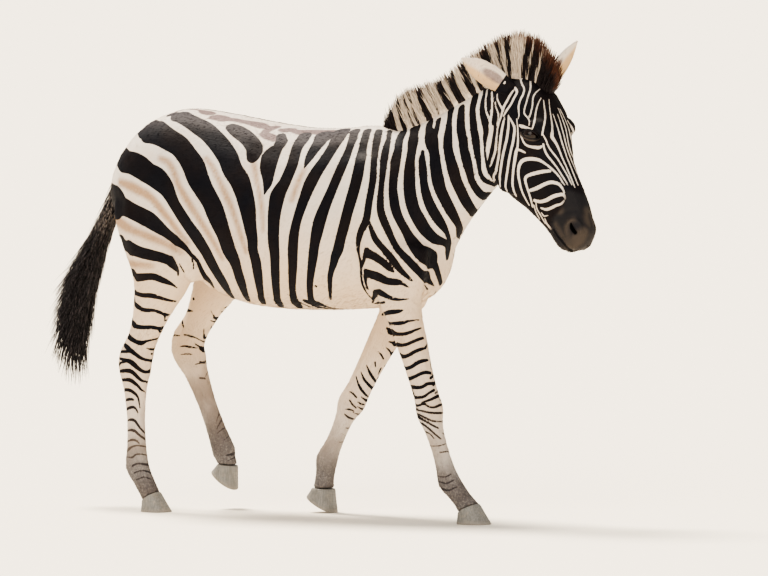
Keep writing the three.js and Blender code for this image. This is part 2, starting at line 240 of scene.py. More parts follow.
def edgePairs(faces):
    pairs = np.concatenate([faces[:, [0, 1]], faces[:, [1, 2]], faces[:, [2, 0]]])
    pairs.sort(axis=1)
    return np.unique(pairs, axis=0)


def relax(points, faces, rounds, weight=1.0, widen=0.53):
    pairs = edgePairs(faces)
    a, b = pairs[:, 0], pairs[:, 1]
    count = np.bincount(a, minlength=len(points)) + np.bincount(b, minlength=len(points))
    weight = np.broadcast_to(weight, len(points))[:, None]
    for step in range(rounds * 2):
        mean = np.empty_like(points)
        for axis in range(3):
            mean[:, axis] = (np.bincount(a, points[b, axis], len(points))
                             + np.bincount(b, points[a, axis], len(points))) / count
        amount = 0.5 if step % 2 == 0 else -widen
        points = points + (mean - points) * amount * weight
    return points


def refine(points, faces, choose):  # splits the edges that choose picks, by their two ends
    sides = np.sort(np.concatenate([faces[:, [0, 1]], faces[:, [1, 2]], faces[:, [2, 0]]]), axis=1)
    keys, place = np.unique(sides[:, 0].astype(np.int64) * len(points) + sides[:, 1],
                            return_inverse=True)
    ends = np.stack([keys // len(points), keys % len(points)], axis=1)
    split = choose(ends)
    middle = np.full(len(keys), -1)
    middle[split] = len(points) + np.arange(split.sum())
    points = np.vstack([points, points[ends[split]].mean(axis=1)])
    mid = middle[place].reshape(3, -1).T
    done = []
    for pattern in range(8):
        rows = ((mid >= 0) * (1, 2, 4)).sum(axis=1) == pattern
        a, b, c = faces[rows].T
        p, q, r = mid[rows].T
        if pattern == 0:
            done.append([a, b, c])
        elif pattern == 7:
            done += [[a, p, r], [p, b, q], [r, q, c], [p, q, r]]
        else:
            turn = {1: 0, 2: 1, 4: 2, 3: 0, 6: 1, 5: 2}[pattern]
            a, b, c = ((a, b, c), (b, c, a), (c, a, b))[turn]
            p, q, r = ((p, q, r), (q, r, p), (r, p, q))[turn]
            if pattern in (1, 2, 4):
                done += [[a, p, c], [p, b, c]]
            else:
                done += [[p, b, q], [a, p, q], [a, q, c]]
    return points, np.concatenate([np.stack(rows, axis=1) for rows in done])


def bothIn(wanted):  # picks the edges whose two ends are wanted
    return lambda ends: wanted[ends].all(axis=1)


def largestPart(points, faces):
    label = np.arange(len(points))
    pairs = edgePairs(faces)
    while True:
        lower = np.minimum(label[pairs[:, 0]], label[pairs[:, 1]])
        before = label.copy()
        np.minimum.at(label, pairs[:, 0], lower)
        np.minimum.at(label, pairs[:, 1], lower)
        label = label[label]
        if (label == before).all():
            break
    best = np.bincount(label).argmax()
    kept = label == best
    index = np.cumsum(kept) - 1
    return points[kept], index[faces[kept[faces[:, 0]]]]


# One skin for the whole body, made from the flesh solids and laid inside them by the coat's depth.
skinPlan = {"voxel": 0.0108, "coatDepth": 0.003, "limbCoat": 0.0012, "trunkRounds": 150,
            "limbRounds": 8, "limbHold": 0.93, "snap": 0.7, "snapFrom": 0.6}
fleshNodes = ["trunk", "neck", "head", "right_fore_leg", "left_fore_leg", "right_hind_leg",
              "left_hind_leg", "tail_dock"]


def joinedCopy(name, nodeNames):
    copy = bmesh.new()
    for node in nodeNames:
        copy.from_mesh(nodes[node].data)
    bmesh.ops.remove_doubles(copy, verts=copy.verts, dist=1e-6)
    mesh = bpy.data.meshes.new(name)
    copy.to_mesh(mesh)
    copy.free()
    return mesh


def headShare(points):  # 1 on the head, 0 behind the cheek
    return smoothStep(-0.05, 0.03, points[:, 0] - 0.470 - 0.1 * (points[:, 2] - 1.200)) \
        * smoothStep(0.90, 0.96, points[:, 2])


def legShare(points):  # 1 from the knees and hocks down
    return 1 - smoothStep(0.56, 0.66, points[:, 2])


def makeSkin():
    rough = addObject("skin rough", joinedCopy("skin rough", fleshNodes))
    modifier = rough.modifiers.new("voxel", "REMESH")
    modifier.mode = "VOXEL"
    modifier.voxel_size = skinPlan["voxel"]
    points, faces = readMesh(evaluated(rough))
    rough.modifiers.clear()
    flesh = BVHTree.FromObject(rough, bpy.context.evaluated_depsgraph_get())
    bpy.data.objects.remove(rough)
    points, faces = largestPart(points, faces)
    design = points - (withersX, 0, 0)
    limb = np.maximum(headShare(design), legShare(design))
    dock = (design[:, 0] < -0.90) & (design[:, 2] > 0.9)
    limb = np.maximum(limb, dock)
    points = relax(points, faces, skinPlan["trunkRounds"], 1 - skinPlan["limbHold"] * limb,
                   0.508)
    for area, least in ((legShare, 0.5), (headShare, 0.5)):
        wanted = area(points - (withersX, 0, 0)) > least
        points, faces = refine(points, faces, bothIn(wanted))
    design = points - (withersX, 0, 0)
    limb = np.maximum(headShare(design), legShare(design))
    for index in np.nonzero(limb > skinPlan["snapFrom"])[0]:
        near = np.array(flesh.find_nearest(points[index])[0])
        points[index] = points[index] * (1 - skinPlan["snap"]) + near * skinPlan["snap"]
    points = relax(points, faces, skinPlan["limbRounds"], 0.35 + 0.65 * limb)
    depth = skinPlan["coatDepth"] + (skinPlan["limbCoat"] - skinPlan["coatDepth"]) * limb
    points -= pointNormals(points, faces) * depth[:, None]
    return points - (withersX, 0, 0), faces


# The dark stripes, each a line of stations (across, down, width) in the side view of sideView,
# counted in its picture points, from where the stripe starts to where it ends.
trunkStripes = {
    "croupTop": [(169, 113, 7), (180.5, 116, 10), (194, 123, 14), (204.5, 129.5, 17.5),
        (212.5, 136.8, 19), (221, 146.7, 20.5), (228.3, 158.3, 20.5), (232.5, 169.3, 20),
        (239.3, 180.3, 20), (242.8, 190, 18.5), (245.8, 200, 17.3), (247.9, 210, 16),
        (249.3, 220, 14), (250.8, 230, 12.2), (252.5, 240, 10.8), (252.9, 250, 9.7), (255.6, 260, 10),
        (257.2, 270, 9.3), (258.5, 280, 8), (260, 290, 5.8), (262, 300, 4), (265, 306.5, 1.5)],
    "croupFirst": [(150, 130, 20.5), (159, 133.5, 23), (169, 139.5, 22), (179, 145.7, 21.6),
        (186.5, 155, 21), (193.5, 166.5, 22.5), (197.5, 177, 22), (203.5, 189, 19.5),
        (210, 200.5, 18), (215.3, 212.5, 18.5), (220, 224.5, 16.5), (223.8, 234.5, 14.5),
        (229, 250, 13.8), (234, 260, 11.3), (237.3, 270, 9), (240.3, 280, 8.6), (243.5, 290, 5.5),
        (246.5, 297, 3.6), (250, 304.5, 1.5)],
    "croupSecond": [(125, 161.5, 22), (132, 163, 23), (139, 166.5, 22.4), (148, 173, 20.6),
        (157.5, 178.8, 21), (165.5, 187, 16.5), (170, 195, 13), (174.5, 204.3, 11), (182, 216.5, 11),
        (189, 227, 11), (196.5, 237, 11.5), (204.8, 250, 10.5), (210, 260, 10), (215.3, 270, 9),
        (221.3, 280, 7.8), (227, 290, 5.2), (230.5, 295, 3.8), (236, 301, 1.5)],
    "buttockFirst": [(110, 198, 16), (117, 202.5, 16), (127.5, 208.5, 15.6), (138, 214, 16),
        (148.5, 219.3, 16), (158.5, 226.5, 13), (167.3, 233.3, 9.5), (176, 240.5, 8),
        (183, 245.7, 6.5), (187, 249.5, 5), (191, 254.5, 4), (195.5, 258.5, 4), (198.5, 263, 4),
        (201.5, 270, 4.5), (205, 276, 4.5), (209, 281, 4), (212, 285, 2.5), (214, 288, 1)],
    "flankThread": [(191.8, 256, 2), (192.8, 264, 2), (194, 271, 1.2)],
    "buttockSecond": [(119, 241.5, 11), (127, 246.5, 11), (139.5, 252, 11), (151, 255, 11),
        (161, 257.3, 10), (169, 260.5, 9.5), (174.5, 264.5, 7), (177.5, 269, 3), (178, 276, 1)],
    "croupTongue": [(231, 127, 8), (237, 130.5, 12), (246, 137, 14.5), (251.5, 143, 16.5),
        (254.8, 149, 17), (253.8, 156, 13)],
    "saddleWedge": [(281, 136, 10), (281.3, 142, 11), (277.5, 148, 9), (271.5, 155, 15),
        (268.5, 165, 16.5), (268.2, 175, 12.5), (267.8, 183, 9), (265.5, 190, 4), (264.5, 194.5, 1.2)],
    "saddleSecond": [(304.7, 136, 9), (302.3, 140, 9.3), (297.5, 147, 9.6), (294.9, 155, 10),
        (292.2, 165, 10.7), (288, 175, 11), (284.5, 183, 11.5), (280.3, 190, 13.5), (277.2, 197, 15),
        (275.6, 205, 14), (274.2, 215, 13), (273.6, 225, 12), (273.4, 240, 11.3), (274.7, 255, 9.8),
        (275, 265, 9), (275.3, 275, 8.4), (275.8, 285, 7.4), (276.7, 295, 5.9), (278.5, 302, 4.3),
        (282.5, 307.5, 3), (289, 312, 1.4)],
    "saddleThird": [(324, 136, 11.5), (319.8, 142, 9.8), (314, 150, 9), (309.8, 157, 7.5),
        (306.5, 163, 4.5), (304.5, 168, 1.4)],
    "saddleFourth": [(342, 131, 8.5), (338.8, 137, 10.3), (333, 147, 9.7), (324.7, 160, 10.2),
        (317.2, 171, 11.5), (310.5, 183, 12.4), (305.6, 195, 11), (300.9, 208, 9.8),
        (296.5, 222, 9.2), (293.8, 236, 10), (292.8, 250, 10.2), (292.7, 265, 9.2), (292.3, 280, 7.5),
        (292.5, 290, 6.2), (294.5, 300, 5.4), (298.5, 306, 4.3), (304, 310, 3), (311, 312, 2),
        (318, 312.5, 1)],
    "barrelFirst": [(355, 131, 7), (352.4, 140, 7.3), (348.8, 150, 7.2), (345, 160, 8.5),
        (340.5, 170, 9.3), (335.3, 182, 9.4), (329.8, 195, 9.9), (324.7, 207, 11), (320, 220, 12.5),
        (317, 232, 12), (314.4, 245, 10), (313, 257, 9.6), (311.2, 270, 8), (309.9, 282, 6.7),
        (310, 292, 5.7), (311.5, 300, 4.8), (315.5, 305.5, 3.7), (322, 308, 3), (330, 309, 2.2),
        (335, 309.5, 1)],
    "barrelSecond": [(367.5, 130.5, 6), (364.6, 140, 7.4), (362.4, 150, 8), (359.8, 162, 9.8),
        (357.4, 175, 11.3), (354.8, 187, 11.3), (351.1, 200, 11.4), (347.6, 212, 10.8),
        (344.3, 225, 10.8), (340.8, 238, 10.4), (338, 250, 10.5), (335.2, 256, 9.3),
        (333.6, 263, 7.8), (331.5, 270, 6.3), (330, 277, 5.4), (329.9, 285, 4.5), (330.2, 293, 3.4),
        (330.5, 299, 2.6)],
    "barrelThird": [(379, 131, 6.8), (377, 140, 7.6), (375, 152, 7), (373.7, 165, 6.6),
        (373, 178, 7.2), (371.2, 190, 7), (369, 202, 7.3), (367.5, 213, 7.5), (365.7, 221.5, 7.6),
        (361.4, 230, 7), (358.9, 238, 6), (358, 248, 3.8), (359.3, 256, 2.4), (361, 264, 2.8),
        (361, 272, 2.4), (361.5, 280, 2.4), (363.5, 287, 2), (367, 293, 1.4), (371, 298, 1.2)],
    "shoulderFork": [(368.5, 221, 3), (372, 231, 5.2), (375, 238.5, 6.5), (380, 245, 6.6),
        (384.5, 250, 6.6), (392, 259, 7.3), (399.5, 269, 6.3), (405, 274.5, 5), (410, 279, 3.3),
        (413, 281.5, 1.4)],
    "witherStripe": [(390, 131, 5), (388.3, 140, 5), (385.8, 150, 7.4), (384, 160, 7.8),
        (383, 170, 6.8), (382, 180, 6), (381, 190, 6), (380.5, 200, 7), (380.5, 210, 8),
        (383.5, 220, 8.4), (388, 230, 7.8), (392.5, 240, 6.8), (398.5, 250, 7), (408, 260, 8),
        (417.5, 270, 8), (426, 278, 6.8), (431, 283, 4), (434, 286, 1.4)],
    "shoulderFirst": [(405, 123, 5), (404, 130, 5), (399.8, 140, 7), (398.2, 150, 8.2),
        (395.8, 160, 10), (394.8, 170, 9.5), (393.5, 180, 9), (393, 190, 9), (394, 200, 10),
        (395.8, 210, 10), (399.8, 220, 9.3), (405.5, 230, 9.3), (411, 240, 11.3), (417, 247, 13.5),
        (422, 252, 15), (428, 257, 13), (432.5, 262, 9.5), (436, 267, 6), (437.5, 272, 5),
        (439.5, 278, 4), (441, 284, 2.4)],
    "shoulderSecond": [(412.5, 136, 8), (413.3, 140, 10.3), (412, 150, 9), (410.3, 160, 9.3),
        (409.5, 170, 11), (409.5, 180, 12), (409.8, 190, 12.3), (411.3, 200, 13), (414, 210, 12.8),
        (419.3, 220, 13.5), (425.5, 230, 12.5), (435, 239, 10.5), (443, 242, 7.5), (447.5, 246, 5),
        (448, 251, 4.3), (447.5, 258, 2.5)],
    "shoulderSecondRoot": [(414.8, 121, 2.6), (412.8, 130, 4), (412.5, 136, 6)],
    "shoulderSecondTwig": [(420, 118, 2.2), (418, 127, 3.6), (416, 134, 4.5), (415.5, 140, 4)],
    "shoulderThird": [(422.5, 151, 3), (422.3, 155, 4.8), (422, 160, 6.8), (422.8, 170, 8.5),
        (423.5, 180, 8), (425, 190, 9), (428, 200, 10.3), (432.5, 210, 11), (438.8, 220, 10.3),
        (443.5, 227, 8), (447, 233, 5), (449, 240, 4), (449.3, 246, 3.6)],
    "neckBaseFirst": [(431, 120, 5), (429, 127, 6), (429.5, 133, 9), (431.3, 140, 13.8),
        (433.8, 150, 10.5), (435, 160, 11), (436, 170, 12), (437.8, 180, 12.8), (440.5, 190, 12),
        (445.3, 200, 11.5), (450.5, 210, 11), (456, 220, 8.7), (459, 226, 6.5), (459.7, 233, 4.5),
        (459.5, 238, 2)],
    "neckBaseTwig": [(438.7, 120, 4), (437, 128, 5), (434.5, 136, 6)],
    "neckBaseSecond": [(451, 110, 5), (449.5, 120, 5), (448.5, 130, 7), (447.8, 140, 9.3),
        (448.3, 150, 9.5), (450.5, 160, 10.7), (453.3, 170, 12), (456, 180, 11.5), (460.5, 190, 11.2),
        (465.3, 200, 11), (470, 207.5, 10), (474, 213, 9)],
    "neckFirst": [(461.5, 108, 6), (460.8, 120, 8), (461, 130, 9), (462.8, 140, 9.4), (464, 150, 9.5),
        (466.5, 160, 10.3), (469, 170, 9), (471.5, 180, 7.4), (476, 188.5, 8), (481, 194.5, 8),
        (486, 196, 7)],
    "neckSecond": [(476.5, 92, 4), (474.5, 100, 6), (472.5, 110, 6), (473, 120, 7), (474, 130, 7.8),
        (475.8, 140, 8.2), (476.8, 150, 7.2), (478.5, 160, 5.7), (479.4, 170, 4.5), (482.5, 178, 5),
        (487, 181.5, 5), (492, 184, 3.6)],
    "throatFirst": [(483.3, 97, 3.4), (481.8, 110, 4.6), (484, 120, 6.4), (486, 130, 6),
        (485, 140, 4), (485.2, 150, 2.3), (486, 160, 2.6), (488, 169, 3), (491, 175, 3),
        (494, 180, 2.4)],
    "throatTwig": [(489, 95, 2.5), (488.7, 103, 3.4), (489.3, 110, 2), (490, 114, 1)],
    "throatSecond": [(495, 99, 3), (496, 110, 4), (495.5, 120, 4.3), (495, 130, 3.4),
        (493.5, 140, 3.5), (492, 150, 4.3), (489.5, 160, 3.7), (488, 167, 4), (490.5, 172, 4.6),
        (492.5, 177, 3)],
    "thighFirst": [(126.5, 275, 7.5), (133, 277.3, 8), (141, 277.3, 8), (149, 276.5, 7),
        (155, 277, 7), (161, 279.5, 6.5), (167, 282, 5.4), (172, 284.3, 3), (178, 288.5, 1)],
    "flankMark": [(179.5, 264.5, 1.4), (184, 272, 1.6)],
}
# Bands of the near hind leg and the near fore leg, read in the same view; the far legs' outer sides
# and the near legs' inner sides take the same bands, moved along the leg's own bones.
hindBands = {
    "thighSecond": [(132, 290, 1.5), (137, 293.5, 3.5), (143, 295.3, 4.5), (150, 295.5, 5),
        (157, 296.8, 4.5), (164, 299, 3.3), (171, 300.7, 2.5), (176, 301.5, 1.5)],
    "thighThird": [(130, 297.5, 2), (133.5, 302.5, 4), (138.5, 307, 4), (144, 310, 4.2),
        (151, 310.3, 4), (158, 311.7, 3.5), (164, 314, 3.2), (169, 315, 2)],
    "gaskinFirst": [(131, 320.5, 4.5), (134, 324.5, 5), (139, 327, 4.5), (146, 327.3, 4),
        (153, 327.3, 4), (160, 328.5, 3), (166, 325.8, 1.5)],
    "gaskinSecond": [(127, 334.5, 4), (131, 338.5, 4.5), (136, 341.5, 4.5), (141, 343, 5),
        (147, 341, 2.5), (155, 339.2, 1.8), (161, 337.5, 1.2)],
    "hockFirst": [(147, 348.3, 1.5), (152, 349.3, 2.5), (158, 348.5, 2)],
    "hockSecond": [(123.5, 344, 3), (127, 347, 4.5), (131, 350.5, 4.5), (136, 354.5, 4),
        (141, 358, 3.5), (147, 360, 3), (152, 360.5, 2.5), (156, 360, 1.8)],
    "hockSecondHeel": [(121.5, 351.5, 3), (126, 351.5, 3), (130, 351.5, 3)],
    "hockThird": [(118, 357.8, 2), (124, 359.8, 3.5), (130, 361.5, 5), (134, 364.5, 5), (139, 369, 4),
        (144, 371.7, 3.3), (148, 371.8, 3), (152, 370, 1.8)],
    "hockThirdHeel": [(117.5, 365, 2.5), (121, 362.8, 2), (126, 361.5, 2.5)],
    "cannonFirst": [(119, 371.5, 3), (124, 370.7, 4), (130, 371, 4.5), (134, 373.5, 4),
        (138, 377.5, 3.5), (142, 380.7, 2.8), (148, 381.7, 1.5)],
    "cannonSecond": [(120.5, 380, 2.5), (125, 379.8, 3.5), (130, 380, 4), (134, 382.5, 3.7),
        (138, 386, 3), (141, 389.5, 2.3), (144.5, 391.5, 1.2)],
    "cannonThird": [(121.5, 391, 2.5), (125, 389.8, 3.3), (130, 390.3, 3.5), (135, 393.5, 3),
        (138, 397.5, 2.2), (139, 402, 1.6), (140, 408, 1.2)],
    "cannonFourth": [(124, 401, 1.5), (128, 399.5, 3), (132, 399.3, 2.8), (134, 400, 1.5)],
    "cannonFifth": [(126, 409.5, 1.8), (129, 408, 3), (133, 407, 3), (136, 409, 2), (138, 413, 1.2)],
    "cannonSixth": [(128, 420.5, 1.5), (131, 419.5, 3), (134.5, 420.5, 3), (137, 423.5, 2.5),
        (140, 428, 2.2), (143, 431, 1.8), (145, 433.5, 1.2)],
    "cannonSeventh": [(128, 430.5, 1.5), (131, 430, 3), (135, 431, 3), (138, 434, 2.5),
        (142, 437, 2.3), (145.5, 439.5, 1.8)],
    "cannonEighth": [(128, 441, 1.5), (132, 439.8, 2.5), (136, 440.5, 2.3), (139, 443, 1.5)],
    "cannonNinth": [(129, 449, 2.5), (132, 446.8, 2.2), (137, 445.5, 1.8), (142, 446, 1.8),
        (146, 446.5, 1.3)],
    "cannonTenth": [(128, 457, 1.5), (132, 457.5, 2), (136, 454.5, 1.8), (141, 454, 1.5),
        (146, 455, 1)],
    "fetlockFirst": [(132, 466, 2), (138, 463.5, 2), (148, 464.8, 2.4)],
    "fetlockSecond": [(134, 473, 1.6), (142, 470.5, 1.6), (149, 472, 1.6)],
    "fetlockThird": [(136, 480, 1.5), (144, 477, 1.5), (150, 479, 1.5)],
}
foreBands = {
    "armFirst": [(366.3, 248, 3), (368, 253, 8.5), (374.5, 256.5, 8), (382, 261.5, 7.5),
        (389, 267.5, 6.3), (393.5, 271.5, 2.5)],
    "armFirstElbow": [(365.5, 254, 5), (364, 259, 3.6), (362.8, 264, 2.4), (362, 268, 1)],
    "armSecond": [(366.5, 272, 6), (372, 274.7, 8.3), (380, 277.8, 8.3), (388, 281.3, 7.3),
        (396, 282, 7), (402, 283, 4), (409, 288, 1.4)],
    "armSecondElbow": [(365.8, 274, 5), (365.8, 283, 2.5), (368.5, 290, 1.4)],
    "armThird": [(372.5, 303, 2), (374.5, 296, 4), (377.5, 291.8, 5.6), (383, 294, 5.3),
        (390, 297.7, 4.3), (398, 299.5, 3), (409, 299, 1)],
    "armMark": [(375, 303.5, 1), (380, 303, 2), (384.5, 302.5, 3)],
    "armFourth": [(382.5, 314.5, 3), (389, 312.4, 5), (397, 311.5, 4.5), (403, 310.5, 2.4)],
    "armFifth": [(389, 323.5, 2.5), (396, 323.5, 4), (403, 322.7, 4), (409, 321, 2.4),
        (419, 320, 1.5)],
    "armSixth": [(386.5, 328, 2.5), (391, 331.5, 3.5), (397, 334, 3.8), (404, 334, 3.8),
        (411, 332, 3.3), (417, 329.5, 2.5), (421.5, 327.8, 1.5)],
    "foreMark": [(424.5, 285, 1), (427.5, 289.5, 2.4)],
    "foreEdge": [(435.5, 292, 1.4), (433.5, 298, 1.4)],
    "foreFirst": [(389, 341.5, 1.5), (394, 343, 3), (400, 345, 3.5), (406, 344.5, 3.5),
        (412, 342, 3.3), (418, 339.5, 3.3), (423, 338, 3)],
    "foreSecond": [(393, 352.5, 1.5), (398, 355, 3), (404, 356.5, 4), (409, 355, 3.8),
        (414, 352, 3.7), (420, 349.5, 3.5), (425.5, 348, 2.5)],
    "foreThird": [(401, 368.5, 3.5), (407, 368.3, 3.8), (412, 366.5, 3.8), (417, 363, 4.2),
        (422, 361, 4), (427.5, 360, 2.8)],
    "foreFourth": [(405, 379.5, 3.5), (410, 378.5, 3.8), (416, 376, 3.5), (421, 373.5, 3.5),
        (426, 372.3, 3.8), (430.5, 373, 3)],
    "foreFifth": [(411, 386.5, 3.5), (416, 387.5, 3.8), (422, 387, 3.5), (427, 384, 3.5),
        (433, 383.3, 3.3)],
    "foreSixth": [(409.5, 392, 2.5), (413, 396.5, 3.2), (418, 397.5, 3), (424, 396.5, 3),
        (429, 393, 2.5), (434, 390, 3)],
    "foreSeventh": [(422, 402.5, 2), (428, 400.5, 2.5), (433, 398.5, 3), (438, 396, 3.4)],
    "kneeFirst": [(412.5, 405, 2.5), (418, 405.5, 2.5), (424, 404, 2.4), (429, 406.7, 2.2),
        (434, 407.3, 2.5), (440.5, 404.8, 2.8)],
    "kneeSecond": [(414, 408.5, 1.3), (420, 410.5, 2), (427, 412, 2.3), (434, 413, 2.5),
        (441.5, 413, 2.4)],
    "kneeThird": [(417, 413.5, 1), (424, 417, 2), (430, 420, 2.2), (436, 421.5, 2), (441, 421.5, 1.5)],
    "kneeFourth": [(415.5, 415, 2.4), (420, 418, 2.2), (426, 421.5, 2.2), (433, 425.5, 2.2),
        (438, 428, 2)],
    "kneeFifth": [(419, 422, 2.2), (425, 425.5, 2), (430, 429.5, 2), (436, 435, 2), (441, 439, 1.6)],
    "shinFirst": [(424, 431, 1.2), (430, 434, 1.3), (434, 438.5, 1.3)],
    "shinSecond": [(433, 446, 1.2), (441, 445.5, 1.4), (445, 444, 1)],
    "shinThird": [(440, 452.5, 1.6), (447, 451.5, 1.5)],
    "pasternFirst": [(438, 476, 1.2), (445, 477, 1.5), (451, 474, 1.5)],
    "pasternSecond": [(440, 482, 1.5), (447, 483, 2), (454, 480, 1.5)],
    "pasternThird": [(442, 489, 1.5), (449, 490, 2), (457, 487, 1.5)],
}
# The few short marks on the pale inner sides of the far legs.
hindInner = {
    "gaskinInnerFirst": [(221, 311.5, 0.8), (229, 313.5, 1.5), (236, 315, 2.4)],
    "gaskinInnerSecond": [(210, 320.5, 0.8), (218, 322.5, 1.8), (228, 324.5, 2.5)],
    "gaskinInnerThird": [(184, 334.7, 1.5), (190, 336, 2.2), (195, 337.5, 1.5), (202, 341, 1.2),
        (209, 343.5, 2.4)],
    "gaskinInnerFourth": [(168, 334.7, 1), (174, 335.2, 1.8), (180, 335.7, 1.2)],
    "hockInnerFirst": [(180, 346.5, 1), (185, 346, 2), (190, 347, 2.2), (197, 348, 1)],
    "hockInnerSecond": [(181, 354.5, 0.8), (187, 353.8, 1.8), (192, 354.5, 1)],
    "hockInnerThird": [(200, 362, 2.2), (205, 363, 1.8)],
    "hockInnerFourth": [(200, 378, 2), (205, 378.5, 2)],
    "thighInnerFirst": [(184.5, 309.5, 3.4), (188, 310.3, 3.2), (193, 311.5, 1.2)],
    "thighInnerDot": [(193, 298.8, 3), (194, 299, 3)],
    "thighInnerThread": [(182, 318, 1), (182.5, 323, 1.5), (184, 328, 1)],
    "thighInnerTwig": [(174, 321, 1), (174, 325, 2.2), (175, 329, 1)],
}
foreInner = {
    "armInnerFirst": [(386, 347.5, 1), (389, 350, 2), (391.5, 354, 2)],
    "armInnerSecond": [(378, 351.5, 0.8), (381, 354.5, 2), (383.5, 359, 1.8)],
    "armInnerThird": [(375, 362, 1.8), (375.5, 367, 1.2)],
    "armInnerFourth": [(381, 368, 1.5), (378.5, 374, 1.2)],
    "armInnerFifth": [(366.5, 365, 1), (369, 371, 2.5), (372.5, 377, 3), (376, 382, 2.4)],
    "armInnerSixth": [(361, 372, 1), (364, 379, 2.5), (368, 384, 3), (372.5, 388.5, 3)],
    "armInnerSeventh": [(356, 376, 0.8), (358, 383, 2), (361, 389, 3), (365, 394, 2.5),
        (368.5, 397, 1.5)],
    "armInnerEighth": [(349.5, 391.5, 1), (353, 393.5, 2), (356.5, 397.5, 1.8)],
    "armInnerNinth": [(349.5, 400, 1.5), (352, 404, 2), (356, 408, 1.5)],
    "armInnerTenth": [(358, 402, 1.5), (361, 404, 2), (364, 404.5, 1.5)],
    "kneeInnerFirst": [(345, 409, 0.8), (350, 409.5, 2), (354, 411, 1)],
    "kneeInnerSecond": [(344.5, 414, 1), (348, 417, 2.2), (353, 419, 1.8)],
    "kneeInnerThird": [(346, 428, 1), (352, 428.5, 1.3)],
}
